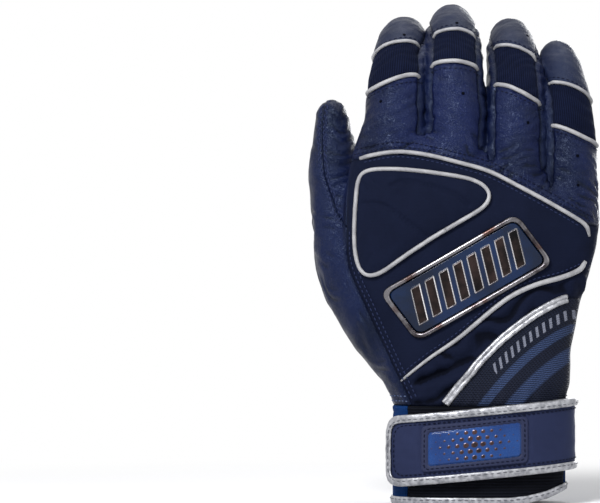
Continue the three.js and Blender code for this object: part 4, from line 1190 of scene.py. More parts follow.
def round_wrist(places, lift):
    """Points from distance round the wrist and height, lifted off the leather."""
    turns = np.interp(places[:, 0], round_distance, wrist_turns)
    rows = follow(PALM_ROWS, np.interp(places[:, 1], row_heights, row_shares))
    side, back = squared(turns)
    across = side * (rows[:, 2] * PALM_WIDTH + lift)
    deep = -back * (rows[:, 3] * PALM_DEPTH + lift)
    return np.stack([rows[:, 1] * PALM_WIDTH + across, deep, places[:, 1]], 1)


wrist_ring = palm_ring(np.interp(WRIST_HEIGHT, row_heights, row_shares), wrist_turns)
round_distance = np.concatenate([
    [0], np.cumsum(np.linalg.norm(np.diff(wrist_ring, axis=0), axis=1))])
round_distance -= np.interp(0, wrist_turns, round_distance)
WRIST_ROUND = np.interp(2 * math.pi, wrist_turns, round_distance)


def round_where(value, axis, first, last):
    """Distance round the wrist at which X or Y has a value, between two turns."""
    part = (wrist_turns >= first) & (wrist_turns <= last)
    values, places = wrist_ring[part, axis], round_distance[part]
    if values[0] > values[-1]:
        values, places = values[::-1], places[::-1]
    return np.interp(value, values, places)


def back_round(x):
    return round_where(x, 0, -math.pi / 2, math.pi / 2)


def palm_round(x):
    return round_where(x, 0, -1.5 * math.pi, -math.pi / 2)


def edge_round(y):
    return round_where(y, 1, 0, math.pi)


def across_at(distance):
    return np.interp(distance, round_distance, wrist_ring[:, 0])


def lattice(low, high, spacing):
    """Flat grid over a rectangle: its points and its triangles."""
    across = np.arange(low[0], high[0] + spacing, spacing)
    up = np.arange(low[1], high[1] + spacing, spacing)
    points = np.stack(np.meshgrid(across, up), -1).reshape(-1, 2)
    a = (np.arange(len(up) - 1)[:, None] * len(across) + np.arange(len(across) - 1)).ravel()
    b = a + len(across)
    return points, np.concatenate([
        np.stack([a, a + 1, b + 1], 1), np.stack([a, b + 1, b], 1)])


def laid(name, outline, lay, outer, inner, finish, slot, body="glove", spacing=0.8,
         hole=None, raised=None):
    """Closed piece laid on a surface: its outline in that surface's own plane, its outer
    face at a lift that depends on the distance from the edge, its inner face at another."""
    outline = np.asarray(outline, float)
    places, faces = lattice(outline.min(0) - spacing, outline.max(0) + spacing, spacing)
    field = within(places, outline)
    if hole is not None:
        field = np.minimum(field, -within(places, hole))
    faces, (depth, places) = cut(field, places, faces=faces)
    made = closed_shell(name + "_piece", lay(places, outer(np.maximum(depth, 0), places)),
                        lay(places, np.full(len(places), inner)), faces)
    lay_map(made, np.concatenate([places, places]))
    if raised is not None:
        mark_points(made, "raised", np.concatenate([raised(places), np.zeros(len(places))]))
    dressed(made, finish, slot, body, name)


def rounded_off(depth, radius):
    """How much lower a rounded edge lies than the middle of its piece."""
    near = np.clip(1 - depth / radius, 0, 1)
    return radius * (1 - np.sqrt(np.maximum(1 - near ** 2, 0)))


def bend(before, corner, after, radius, steps=10):
    """Rounded corner of an outline."""
    before, corner, after = (np.asarray(p, float) for p in (before, corner, after))
    first = corner + (before - corner) * min(1, radius / np.linalg.norm(before - corner))
    last = corner + (after - corner) * min(1, radius / np.linalg.norm(after - corner))
    t = np.linspace(0, 1, steps)[:, None]
    return first * (1 - t) ** 2 + corner * 2 * t * (1 - t) + last * t ** 2


def rounded_corners(corners, radius):
    count = len(corners)
    return np.concatenate([bend(corners[k - 1], corners[k], corners[(k + 1) % count], radius)
                           for k in range(count)])


def rectangle(low, high, inset, radius):
    """Rounded rectangle, drawn in from two opposite corners."""
    (left, bottom), (right, top) = np.add(low, inset), np.subtract(high, inset)
    return rounded_corners([(left, bottom), (right, bottom), (right, top), (left, top)], radius)


HEM_LINE = np.array([(-2, 0), (0.22, 0), (0.3, 0.004), (0.38, 0.013), (0.46, 0.028), (2, 0.05)])
HEM_LINE = HEM_LINE * (PALM_WIDTH, GLOVE_LENGTH)
CUFF_TOP = WRIST_SEAM - GAP


def hem_height(distance):
    return np.interp(across_at(distance), HEM_LINE[:, 0], HEM_LINE[:, 1])


slit_palm, slit_back = edge_round(-4), edge_round(-7)
cuff_seam = back_round(-22)
PATCH_LEFT, PATCH_LOW, PATCH_WIDE, PATCH_HIGH = -1.98, 18.87, 42.0, 15.5
patch_first, patch_last = palm_round(PATCH_LEFT + PATCH_WIDE), palm_round(PATCH_LEFT)
patch_low, patch_high = (patch_first, PATCH_LOW), (patch_last, PATCH_LOW + PATCH_HIGH)
patch_outline = rectangle(patch_low, patch_high, 0, 3)


def cuff_outline(first, last):
    low = np.linspace(first, last, 120)
    return np.concatenate([
        np.stack([low, hem_height(low) + 0.9], 1), [(last, CUFF_TOP), (first, CUFF_TOP)]])


def neoprene_face(depth, places):
    gathers = 0.16 * np.sin(places[:, 0] * 0.5 + 1.5 * np.sin(places[:, 1] * 0.21)) \
        * ease((places[:, 1] - 34) / 10)
    pressed = 0.34 * ridge(-within(places, patch_outline) - 2.4, 0.75)
    soft = 0.14 * rough(np.column_stack([places, places[:, 0] * 0]), 12, 60)
    top_seam = 0.3 * ridge(CUFF_TOP - places[:, 1] - 3.2, 0.9)
    return NEOPRENE + gathers * 0.6 + soft - pressed - top_seam - rounded_off(depth, 0.6)


neoprene_finish = knit_finish(
    "neoprene_knit", paint(9, 34, 76), paint(18, 54, 106), across=1100.0, lengthwise=1500.0,
    share=0.5, roughness=0.85, bump=0.13)
laid("cuff_palm", cuff_outline(slit_palm - WRIST_ROUND, cuff_seam - GAP), round_wrist,
     neoprene_face, -LEATHER, neoprene_finish, "neoprene")


# Back of the cuff: black ribbed elastic that lets the wrist stretch. It is sewn to the neoprene
# at the thumb side and lies under the strap; at the little-finger edge a slit stays open.
def elastic_face(depth, places):
    ribs = 0.13 * np.sin(places[:, 1] * 2 * math.pi / RIB_PITCH)
    pull = 0.12 * np.sin(places[:, 0] * 0.8 + 0.8 * np.sin(places[:, 1] * 0.3))
    return NEOPRENE - 0.15 + ribs + pull - rounded_off(depth, 0.5)


RIB_PITCH = 1.9
elastic_finish = knit_finish(
    "black_elastic", paint(8, 9, 13), paint(20, 22, 30), across=1500.0, lengthwise=700.0,
    share=0.75, roughness=0.9, bump=0.2)
laid("cuff_back", cuff_outline(cuff_seam, slit_back), round_wrist, elastic_face, -LEATHER,
     elastic_finish, "black_elastic", spacing=0.55)


# Hem binding: silver tape, a crinkled foil on a woven backing, folded over the lower edge of
# the cuff from one side of the slit to the other and stitched through.
TAPE = 0.6
FOLD = TAPE + GAP
TAPE_WIDE = 3.0
TAPE_REACH = TAPE_WIDE + TAPE


def folded_section(outer, inner):
    """Section of a tape folded over an edge: distance in from the edge, and lift."""
    return np.array([
        (TAPE_REACH, outer + GAP), (TAPE_REACH, outer + 0.75), (3.1, outer + FOLD),
        (2.3, outer + FOLD + 0.05), (1.5, outer + FOLD + 0.05), (0.8, outer + 0.85),
        (0.25, outer + 0.6), (0, outer + 0.15), (0, inner - 0.15), (0.25, inner - 0.6),
        (0.8, inner - 0.85), (2.2, inner - FOLD), (3.1, inner - FOLD),
        (TAPE_REACH, inner - 0.75), (TAPE_REACH, inner - GAP), (TAPE, inner - GAP),
        (TAPE, outer + GAP)])


def outwards(points, faces):
    """Faces turned round where the closed mesh would be inside out."""
    points = np.asarray(points)
    volume = 0.0
    for face in faces:
        for k in range(1, len(face) - 1):
            volume += points[face[0]] @ np.cross(points[face[k]], points[face[k + 1]])
    return faces if volume > 0 else [tuple(face[::-1]) for face in faces]


def left_of(line):
    """Directions to the left of a line in its plane."""
    tangent = unit(np.gradient(line, axis=0))
    return np.stack([-tangent[:, 1], tangent[:, 0]], 1)


def tape_mesh(name, rings, finish, body):
    """Closed tape through copies of its path, one at each corner of its section."""
    points, faces = tube(list(np.stack(rings, 1)))
    made = make_mesh(name + "_tape", points, outwards(points, faces))
    dressed(made, finish, "silver_tape", body, name)


def taped(name, path, section, finish, body, crinkle):
    """Tape round the wrist along a path; its section's distances run to the path's left."""
    path = np.asarray(path, float)
    inwards = left_of(path)
    gone = np.concatenate([[0], np.cumsum(np.linalg.norm(np.diff(path, axis=0), axis=1))])
    rings = []
    for distance, lift in section:
        flat = np.column_stack([gone, np.full(len(gone), distance + lift * 2), gone * 0])
        wave = crinkle * (rough(flat, 4.2, 70) + 0.45 * rough(flat, 1.9, 71))
        free = 1.0 if lift > section[:, 1].mean() else 0.3
        rings.append(round_wrist(path + inwards * distance, lift + wave * free))
    tape_mesh(name, rings, finish, body)


f = Finish("silver_foil", roughness=0.38, metallic=0.6)
fine = f.noise(420, 3, 0.6)
broad = f.noise(130, 3, 0.6)
color = f.mix(f.mapped(fine, 0.3, 0.66), paint(126, 127, 133), paint(172, 173, 178))
color = f.mix(f.mapped(broad, 0.5, 0.72), color, paint(104, 105, 112))
crinkle = f.math("MULTIPLY_ADD", broad, 1.6, fine)
foil_finish = f.done(color, f.bump(crinkle, 0.22 * MM), f.mapped(fine, 0.3, 0.7, 0.32, 0.5))
hem_round = np.linspace(slit_palm - WRIST_ROUND, slit_back, 330)
hem_path = np.stack([hem_round, hem_height(hem_round)], 1)
taped("hem_binding", hem_path, folded_section(NEOPRENE, -LEATHER), foil_finish, "glove", 0.16)


# Patch on the palm side of the cuff: a moulded silver rim with a glossy blue plate in it, which
# carries a row of slanted bars. Both are glued on the neoprene.
RIM_WIDE = 1.5
patch_hole = rectangle(patch_low, patch_high, RIM_WIDE, 2)
f = Finish("patch_silver", roughness=0.38, metallic=0.75)
fine = f.noise(1200, 3, 0.6)
broad = f.noise(120, 3, 0.5)
color = f.mix(f.mapped(broad, 0.35, 0.7), paint(176, 178, 184), paint(208, 210, 215))
patch_rim_finish = f.done(color, f.bump(fine, 0.05 * MM), f.mapped(fine, 0.3, 0.7, 0.3, 0.46))
PATCH_BASE = NEOPRENE + GAP
RIM_HIGH, PLATE_HIGH, PALM_BAR_HIGH = 1.0, 0.55, 0.4


def moulded_finish(name, dark, light, raised_dark, raised_light, edges, roughness, metallic):
    """Blue moulded plate; where the piece says so, its raised marks have another coating with
    bright edges, and its border is the cloth that it is pressed on."""
    f = Finish(name, roughness, Coat_Roughness=0.12, Specular_IOR_Level=0.2)
    level = f.attribute("raised")
    mask = f.mapped(level, 0, 0.5)
    rim = f.math("MULTIPLY", f.mapped(level, 0.05, 0.3), f.mapped(level, 0.75, 0.98, 1, 0))
    border = f.mapped(level, -0.9, -0.3, 1, 0)
    cloud = f.noise(38, 3, 0.55)
    fine = f.noise(1500, 2, 0.5)
    worn = f.group(marks, f.object, Size=90.0)["Mask"]
    plate_color = f.mix(f.mapped(cloud, 0.34, 0.66), dark, light)
    mark_color = f.mix(worn, raised_dark, raised_light)
    mark_color = f.mix(rim, mark_color, edges)
    color = f.mix(border, f.mix(mask, plate_color, mark_color), paint(33, 39, 66))
    rough_plate = f.mapped(fine, 0.3, 0.7, roughness - 0.04, roughness + 0.07)
    return f.done(color, f.bump(fine, 0.03 * MM),
                  f.math("MULTIPLY_ADD", border, 0.4, rough_plate),
                  Metallic=f.math("MULTIPLY", mask, metallic),
                  Coat_Weight=f.math("MULTIPLY_ADD", border, -0.18, 0.18))


palm_plate_finish = moulded_finish(
    "palm_plate_blue", paint(14, 40, 92), paint(24, 62, 126),
    paint(150, 156, 170), paint(190, 196, 206), paint(170, 176, 188), roughness=0.3,
    metallic=0.6)


def slanted_bars(places, left, low, wide, high, count, bar, lean, edge=0.35):
    """How far each place is on a row of leaning bars, from 0 to 1."""
    across = places[:, 0] - left - (places[:, 1] - low) * lean
    pitch = wide / count
    local = np.mod(across, pitch) - pitch / 2
    on_bar = ease((bar / 2 - np.abs(local)) / edge + 0.5)
    inside_row = ease((across - 0.2) / edge) * ease((wide - across) / edge)
    level = ease((places[:, 1] - low) / edge) * ease((low + high - places[:, 1]) / edge)
    return on_bar * inside_row * level


def palm_marks(places):
    return slanted_bars(places, left=patch_first + 6.2, low=PATCH_LOW + 4.2, wide=28,
                        high=PATCH_HIGH - 8.4, count=7, bar=1.7, lean=0.5)


laid("palm_patch_rim", patch_outline, round_wrist,
     lambda depth, places: PATCH_BASE + RIM_HIGH - rounded_off(depth, 0.7), PATCH_BASE,
     patch_rim_finish, "palm_patch_silver", spacing=0.35, hole=patch_hole)
PLATE_INSET = 1.8
laid("palm_patch_plate", rectangle(patch_low, patch_high, PLATE_INSET, 1.8), round_wrist,
     lambda depth, places: PATCH_BASE + PLATE_HIGH + PALM_BAR_HIGH * palm_marks(places)
     - rounded_off(depth, 0.4), PATCH_BASE, palm_plate_finish, "palm_patch_blue",
     spacing=0.35, raised=palm_marks)


# Wrist strap: smooth navy cloth over foam, with a round tip. It is sewn on at the little-finger
# edge, where it turns, and closes over the back of the cuff.
LOOP_OUTER = NEOPRENE + GAP + 0.9
HOOK_OUTER = LOOP_OUTER + GAP + 0.9
STRAP_INNER = HOOK_OUTER + GAP
STRAP_OUTER = STRAP_INNER + 2.0
STRAP_TIP = -26.51
STRAP_LOW, STRAP_WIDE, STRAP_RISE, STRAP_CORNER = 8.0, 33.0, 0.11, 9.0
strap_tip = back_round(STRAP_TIP)


def strap_level(distance, share):
    """Height of a line along the strap; share 0 is its lower edge and 1 its upper edge."""
    return STRAP_LOW + STRAP_RISE * (across_at(distance) - STRAP_TIP) + share * STRAP_WIDE


def strap_edge(last, inset):
    """The strap's outline without its root end, from above the root round the tip."""
    first = strap_tip + inset
    radius = STRAP_CORNER - inset * 0.6
    run = np.linspace(last, first + radius, 70)
    top = np.stack([run, strap_level(run, 1) - inset], 1)
    low = np.stack([run[::-1], strap_level(run[::-1], 0) + inset], 1)
    high_corner = (first, strap_level(first, 1) - inset)
    low_corner = (first, strap_level(first, 0) + inset)
    return np.concatenate([
        top, bend(top[-1], high_corner, low_corner, radius, 14)[1:],
        bend(high_corner, low_corner, low[0], radius, 14), low[1:]])


STRAP_PATCH_LEFT, STRAP_PATCH_WIDE, STRAP_PATCH_HIGH = -12.65, 43.0, 21.5
patch_corners = []
for x, share in ((0, 0), (1, 0), (1, 1), (0, 1)):
    at = back_round(STRAP_PATCH_LEFT + x * STRAP_PATCH_WIDE)
    patch_corners.append((at, strap_level(at, 0.5) + (share - 0.5) * STRAP_PATCH_HIGH))


def strap_patch_ring(inset, radius):
    """Outline of the strap's patch, drawn in from its edge."""
    inwards = np.array([(1, 1), (-1, 1), (-1, -1), (1, -1)])
    return rounded_corners(np.array(patch_corners) + inwards * inset, radius)


strap_patch_outline = strap_patch_ring(0, 2.5)


def strap_face(depth, places):
    flat = np.column_stack([places, places[:, 0] * 0])
    dents = 0.3 * rough(flat, 14, 80) + 0.12 * rough(flat * (1, 2, 1), 6, 81)
    frame = -within(places, strap_patch_outline)
    groove = 0.3 * ridge(frame - 0.6, 0.7)
    at_tape = 0.3 * np.clip(1 - (depth - 2.7) / 2.2, 0, 1)
    return STRAP_OUTER + dents * ease((depth - 2) / 3) - groove - at_tape


STRAP_END = edge_round(0)
strap_finish = knit_finish(
    "strap_cloth", paint(35, 41, 68), paint(42, 49, 78), across=2100.0, lengthwise=2100.0,
    share=0.5, roughness=0.6, bump=0.05, sheen=0.1)
laid("strap", strap_edge(STRAP_END, FOLD), round_wrist, strap_face, STRAP_INNER, strap_finish,
     "strap_cloth", "wrist_strap", spacing=0.6)


# Binding of the strap: the same silver tape as on the hem, folded over the strap's edge from
# the root round the tip and back, and stitched through.
taped("strap_binding", even(strap_edge(edge_round(-3), 0), 0.7),
      folded_section(STRAP_OUTER, STRAP_INNER), foil_finish, "wrist_strap", 0.2)


# Patch of the strap: a glossy moulded plate with a field of raised dots that shrink towards
# its ends, pressed on a border of the strap's cloth and sewn round its edge.
strap_plate_finish = moulded_finish(
    "strap_plate_blue", paint(12, 42, 96), paint(22, 62, 122),
    paint(24, 19, 25), paint(74, 50, 48), paint(66, 49, 52), roughness=0.24, metallic=0.5)
PLATE_BORDER = 3.0
plate_outline = strap_patch_ring(PLATE_BORDER, 1.6)
patch_middle = np.mean(patch_corners, axis=0)
DOT_PITCH, DOT_ROW = 3.4, 2.9


def patch_marks(places):
    """Rows of dots that shrink from the middle of the plate towards its ends."""
    local = places - patch_middle
    local = np.stack([local[:, 0], local[:, 1] - STRAP_RISE * local[:, 0]], 1)
    row = np.round(local[:, 1] / DOT_ROW)
    shift = np.where(np.mod(row, 2) == 0, 0, DOT_PITCH / 2)
    column = np.round((local[:, 0] - shift) / DOT_PITCH)
    gap = np.hypot(local[:, 0] - shift - column * DOT_PITCH, local[:, 1] - row * DOT_ROW)
    size = 1.25 - 0.062 * np.abs(column * DOT_PITCH + shift) - 0.05 * np.abs(row * DOT_ROW)
    shown = (np.abs(column) < 5.5) & (np.abs(row) < 2.5)
    return np.where(shown, ease((size - gap) / 0.3 + 0.5), 0)


def patch_levels(places):
    """The marks, and -1 on the border of cloth round the plate."""
    return np.where(within(places, plate_outline) < 0, -1.0, patch_marks(places))


def patch_face(depth, places):
    plate_depth = within(places, plate_outline)
    return (STRAP_OUTER + GAP + 0.35 + 0.28 * patch_marks(places)
            + 0.3 * ease(plate_depth / 0.5) - 0.5 * ridge(plate_depth, 0.4)
            - 0.8 * rounded_off(depth, 0.55))


laid("strap_patch", strap_patch_outline, round_wrist, patch_face, STRAP_OUTER + GAP - 0.25,
     strap_plate_finish, "strap_patch_blue", "wrist_strap", spacing=0.35, raised=patch_levels)


# Hook and loop: a patch of hook tape on the inner side of the strap's tip and a longer one of
# loop tape below it on the cuff, both sewn flat. They hold the strap closed.
hook_finish = knit_finish(
    "hook_tape", paint(9, 10, 14), paint(26, 28, 36), across=800.0, lengthwise=800.0,
    share=0.5, roughness=0.8, bump=0.35)
loop_finish = knit_finish(
    "loop_tape", paint(12, 13, 18), paint(22, 24, 32), across=600.0, lengthwise=600.0,
    share=0.5, roughness=0.95, bump=0.3, sheen=0.2)
LOOP_INSET = 1.5
HOOK_LONG, LOOP_LONG = 26.0, 40.0
hook_end = back_round(STRAP_TIP + HOOK_LONG)
hook_edge = strap_edge(hook_end, FOLD + TAPE_WIDE)
laid("hook_patch", hook_edge, round_wrist,
     lambda depth, places: HOOK_OUTER - 0.12 * rounded_off(depth, 1), LOOP_OUTER + GAP,
     hook_finish, "hook_tape", "wrist_strap")
loop_first, loop_last = (back_round(STRAP_TIP + FOLD + TAPE_WIDE + v)
                         for v in (LOOP_INSET, LOOP_LONG))
loop_run = np.linspace(loop_first, loop_last, 20)
loop_edge = np.concatenate([
    np.stack([loop_run, strap_level(loop_run, 0) + LOOP_INSET], 1),
    np.stack([loop_run[::-1], strap_level(loop_run[::-1], 1) - LOOP_INSET], 1)])
loop_edge[:, 1] = np.minimum(loop_edge[:, 1], CUFF_TOP)
laid("loop_patch", loop_edge, round_wrist,
     lambda depth, places: LOOP_OUTER - rounded_off(depth, 0.5), NEOPRENE + GAP,
     loop_finish, "loop_tape")


# Root of the strap: a tab of the same cloth at the little-finger edge, sewn down on the cuff
# round its edge. The strap is sewn on there and turns about that line.
root_first, root_last = edge_round(-1.5), edge_round(6)
root_low = strap_level(root_first, 0) + FOLD
root_top = min(root_low + STRAP_WIDE, CUFF_TOP)
root_corners = (root_first, root_low), (root_last, root_top)
laid("strap_root", rectangle(*root_corners, 0, 1.2), round_wrist,
     lambda depth, places: STRAP_INNER - GAP - rounded_off(depth, 0.7)
     - 0.3 * ridge(depth - 1.6, 0.5), NEOPRENE + GAP, strap_finish, "strap_cloth", spacing=0.5)


# Diagonal binding: a double silver tape with a groove along its middle, sewn on the upper edge
# of the woven strap from the wrist to the little-finger edge.
DOUBLE_TAPE = [(-2.0, 0.0), (-2.05, 0.7), (-1.6, 1.25), (-1.0, 1.4), (-0.45, 1.25), (-0.1, 0.85),
               (0.1, 0.85), (0.45, 1.25), (1.0, 1.4), (1.6, 1.25), (2.05, 0.7), (2.0, 0.0)]
TAPE_CRINKLE = 0.14
tape_line = even(diagonal_seam, 0.7)
tape_line = tape_line[tape_line[:, 1] > WRIST_SEAM + 0.4]
path, normals = (smoothed(values, 12) for values in over_back(tape_line))
across, up = frame_along(path, normals)
rings = []
for wide, lift in DOUBLE_TAPE:
    ring = path + across * wide + up * lift
    rings.append(ring + up * (TAPE_CRINKLE * rough(ring, 2.4, 72))[:, None] * (lift > 0.5))
tape_mesh("diagonal_binding", rings, foil_finish, "glove")


# Badge: a moulded blue plate with raised dark chrome bars, in a chrome rim. It is glued to the
# back of the hand over the stretch cloth, whose form it follows smoothly.
BADGE_MIDDLE = np.array([0.046 * PALM_WIDTH, 0.4515 * GLOVE_LENGTH])
BADGE_LONG, BADGE_HIGH, BADGE_RIM = 73.0, 29.0, 2.5
CHROME_HIGH, CHROME_ROUND = 2.35, 1.25
BADGE_PLATE_HIGH, BADGE_BAR_HIGH, BADGE_SWELL = 1.05, 0.75, 0.25
BADGE_TILT, BADGE_LEAN = math.radians(30), math.tan(math.radians(7))
badge_turn = np.array([[math.cos(BADGE_TILT), math.sin(BADGE_TILT)],
                       [-math.sin(BADGE_TILT), math.cos(BADGE_TILT)]])


def badge_shape(inset, radius):
    wide, high = BADGE_LONG / 2 - inset, BADGE_HIGH / 2 - inset
    corners = np.array([(-wide, -high), (wide, -high), (wide, high), (-wide, high)])
    corners[:, 0] -= BADGE_LEAN * corners[:, 1]
    return rounded_corners(corners @ badge_turn + BADGE_MIDDLE, radius)


badge_outline = badge_shape(0, 6)
under_badge = (within(seen, badge_outline) > -1) & (skin[:, 1] < 0)


def fit_terms(places):
    """Terms of the smooth surface under the badge at each place."""
    x, z = (places - BADGE_MIDDLE).T / 30
    return np.stack([np.ones(len(x)), x, z, x * x, x * z, z * z, x ** 3, x * x * z, x * z * z], 1)


badge_fit = np.linalg.lstsq(
    fit_terms(seen[under_badge]), skin[under_badge, 1], rcond=None)[0]


def over_badge(places, lift):
    """Points over a smooth surface that follows the back of the hand under the badge."""
    step = 0.5
    depth = fit_terms(places) @ badge_fit
    slope_x = (fit_terms(places + (step, 0)) @ badge_fit - depth) / step
    slope_z = (fit_terms(places + (0, step)) @ badge_fit - depth) / step
    out = unit(np.stack([slope_x, -np.ones(len(places)), slope_z], 1))
    return (np.stack([places[:, 0], depth, places[:, 1]], 1)
            + out * np.asarray(lift).reshape(-1, 1))


# Painted reflections: the chrome's colour wanders between dark grey, pale grey and dark brown,
# which paints in the dark and brownish reflections that it shows.
f = Finish("badge_chrome", roughness=0.13, metallic=1.0)
cloud = f.noise(55, 4, 0.6)
fine = f.noise(900, 3, 0.6)
painted_reflections = f.mix(f.mapped(cloud, 0.4, 0.56), paint(56, 51, 54), paint(120, 118, 122))
color = f.mix(f.mapped(f.noise(90, 2, 0.5), 0.52, 0.66), painted_reflections, paint(80, 62, 58))
chrome_finish = f.done(color, f.bump(fine, 0.02 * MM), f.mapped(fine, 0.3, 0.7, 0.18, 0.3))
badge_finish = moulded_finish(
    "badge_blue", paint(2, 15, 36), paint(4, 30, 66), paint(7, 7, 9), paint(54, 42, 40),
    paint(206, 204, 206), roughness=0.2, metallic=0.9)


def badge_marks(places):
    local = (places - BADGE_MIDDLE) @ badge_turn.T
    return slanted_bars(local, left=-31.3, low=-8.5, wide=59, high=17, count=8, bar=4.6,
                        lean=0.3, edge=0.7)


laid("badge_rim", badge_outline, over_badge,
     lambda depth, places: CHROME_HIGH - 1.05 * rounded_off(depth, CHROME_ROUND), 0.0,
     chrome_finish,
     "badge_chrome", spacing=0.3, hole=badge_shape(BADGE_RIM, 4.2))
laid("badge_plate", badge_shape(BADGE_RIM + 0.15, 4.1), over_badge,
     lambda depth, places: BADGE_PLATE_HIGH + BADGE_BAR_HIGH * badge_marks(places)
     + BADGE_SWELL * ease(depth / 9) - rounded_off(depth, 0.4), 0.0, badge_finish,
     "badge_blue", spacing=0.3, raised=badge_marks)


# Knuckle pad: foam under smooth stretch cloth, sewn down inside its loop of piping. A cloth
# simulation on an enlarged copy fills it, and its quilted channels are pressed in after that.
PAD_HEIGHT, PAD_EDGE, PAD_CROWN = 3.3, 1.0, 7.0
PAD_CELL = 1.15
SIMULATION_SCALE = 10.0
PAD_PRESSURE, PAD_FRAMES, PAD_SWELLING = 4.0, 20, 0.9
SEWN_HEIGHT = 1.1
pad_places, pad_faces = lattice(pad_outline.min(0) - 1, pad_outline.max(0) + 1, 1.0)
pad_faces, (pad_depth, pad_places) = cut(
    within(pad_places, pad_outline) - 0.3, pad_places, faces=pad_faces)
pad_depth = np.maximum(pad_depth, 0)
crown = PAD_EDGE + (PAD_HEIGHT - PAD_EDGE) * np.sqrt(np.maximum(
    1 - (1 - np.clip(pad_depth / PAD_CROWN, 0, 1)) ** 2, 0))
pad_base, pad_normals = over_back(pad_places)
pad = closed_shell("knuckle_pad", pad_base + pad_normals * crown[:, None],
                   pad_base + pad_normals * 0.3, pad_faces)
pad_centre = sum((v.co for v in pad.data.vertices), Vector()) / len(pad.data.vertices)
for vertex in pad.data.vertices:
    vertex.co = (vertex.co - pad_centre) * SIMULATION_SCALE
pad.data = fused(pad, PAD_CELL * MM * SIMULATION_SCALE)


def place_of(vertex_co):
    """Place in millimetres of a point of the enlarged pad."""
    return np.array(Vector(vertex_co) / SIMULATION_SCALE + pad_centre) / MM + FRAME_ORIGIN


sewn = pad.vertex_groups.new(name="sewn")
for vertex in pad.data.vertices:
    place = place_of(vertex.co)
    near = np.array(skin_tree.find_nearest(Vector(place))[0])
    if np.linalg.norm(place - near) < SEWN_HEIGHT:
        sewn.add([vertex.index], 1.0, "REPLACE")
before = [v.co.copy() for v in pad.data.vertices]
cloth = pad.modifiers.new("filling", "CLOTH")
cloth.settings.use_pressure = True
cloth.settings.uniform_pressure_force = PAD_PRESSURE
cloth.settings.effector_weights.gravity = 0
cloth.settings.vertex_group_mass = "sewn"
cloth.point_cache.frame_start, cloth.point_cache.frame_end = 1, PAD_FRAMES
for frame_number in range(1, PAD_FRAMES + 1):
    bpy.context.scene.frame_set(frame_number)
filled = evaluated(pad)
bpy.context.scene.frame_set(1)
most = PAD_SWELLING * MM * SIMULATION_SCALE
for vertex, start_co, end in zip(pad.data.vertices, before, filled.vertices):
    move = end.co - start_co
    if move.length > most:
        move *= most / move.length
    vertex.co = start_co + move

PAD_CHANNELS = [((-30, 147.5), (-21.6, 149.9), (-1.9, 144.8), (6, 139)),
                ((-44, 139.5), (-32.4, 138.2), (-14.6, 125), (-8, 119.5))]
channel_lines = [follow(np.array(line), np.linspace(0, 1, 40)) for line in PAD_CHANNELS]
finer = pad.modifiers.new("finer", "SUBSURF")
finer.levels = finer.render_levels = 1
pad.data = evaluated(pad)
pad_points = np.array([place_of(v.co) for v in pad.data.vertices])
flat_places = pad_points[:, [0, 2]]
channel = np.zeros(len(pad_points))
for line in channel_lines:
    nearest = np.min([np.hypot(*(flat_places - p).T) for p in line], axis=0)
    channel = np.maximum(channel, ridge(nearest, 1.15))
edge_depth = within(flat_places, pad_outline)
below_pad, outward = settle(pad_points, 0)
out_lift = ((pad_points - below_pad) * outward).sum(1)
ripple = 0.22 * rough(pad_points, 9, 90) + 0.1 * rough(pad_points, 4, 91)
press = ease((out_lift - 1.2) / 1.0)
press *= ripple - channel * ease(edge_depth / 3)
pad_points = pad_points + outward * press[:, None]
for vertex, place in zip(pad.data.vertices, (pad_points - FRAME_ORIGIN) * MM):
    vertex.co = place
for layer in list(pad.data.uv_layers):
    pad.data.uv_layers.remove(layer)
lay_map(pad, flat_places)
pad.data.materials.clear()
dressed(pad, cloth_finish, "stretch_cloth", "glove", "knuckle_pad_cover", "knuckle_pad_foam")


# Stitches: dark thread beside each seam of the hand and in the strap, pale thread beside the
# fourchettes and on the palm's hem, grey thread in the silver tapes. One tree of nodes sets a
# stitch at every step along the lines that it is given.
def coated(tree, instances, material, result):
    """Last steps of a tree: real meshes, smooth, in the material that the tree is given."""
    realized = add_node(tree, "GeometryNodeRealizeInstances", {0: instances.outputs[0]})
    smooth = add_node(tree, "GeometryNodeSetShadeSmooth", {0: realized.outputs[0]})
    finished = add_node(tree, "GeometryNodeSetMaterial", {
        "Geometry": smooth.outputs[0], "Material": material})
    fill(tree, result, {0: finished.outputs[0]})


def applied(made, tree, inputs):
    """Gives the object the plain mesh that the tree makes of it, with its named inputs."""
    modifier = made.modifiers.new(tree.name, "NODES")
    modifier.node_group = tree
    for item in tree.interface.items_tree:
        if item.in_out == "INPUT" and item.name in inputs:
            modifier[item.identifier] = inputs[item.name]
    made.data = evaluated(made)


stitching, given, result = node_group(
    "GeometryNodeTree", "stitch_row",
    [("Geometry", "Geometry", None), ("Pitch", "Float", 0.0022),
     ("Stitch Length", "Float", 0.0016), ("Thread Radius", "Float", 0.00028),
     ("Thread", "Material", None)], [("Geometry", "Geometry", None)])
as_curve = add_node(stitching, "GeometryNodeMeshToCurve", {0: given["Geometry"]})
spaced = add_node(stitching, "GeometryNodeResampleCurve", {
    "Curve": as_curve.outputs[0], "Length": given["Pitch"]}, mode="LENGTH")
upward = add_node(stitching, "GeometryNodeInputNamedAttribute", {"Name": "up"},
                  data_type="FLOAT_VECTOR")
direction = add_node(stitching, "GeometryNodeInputTangent")
along_x = add_node(stitching, "FunctionNodeAlignRotationToVector", {
    "Vector": direction.outputs[0]}, axis="X")
then_z = add_node(stitching, "FunctionNodeAlignRotationToVector", {
    "Rotation": along_x.outputs[0], "Vector": upward.outputs[0]}, axis="Z", pivot_axis="X")
one_stitch = add_node(stitching, "GeometryNodeMeshUVSphere", {
    "Segments": 8, "Rings": 5, "Radius": 1})
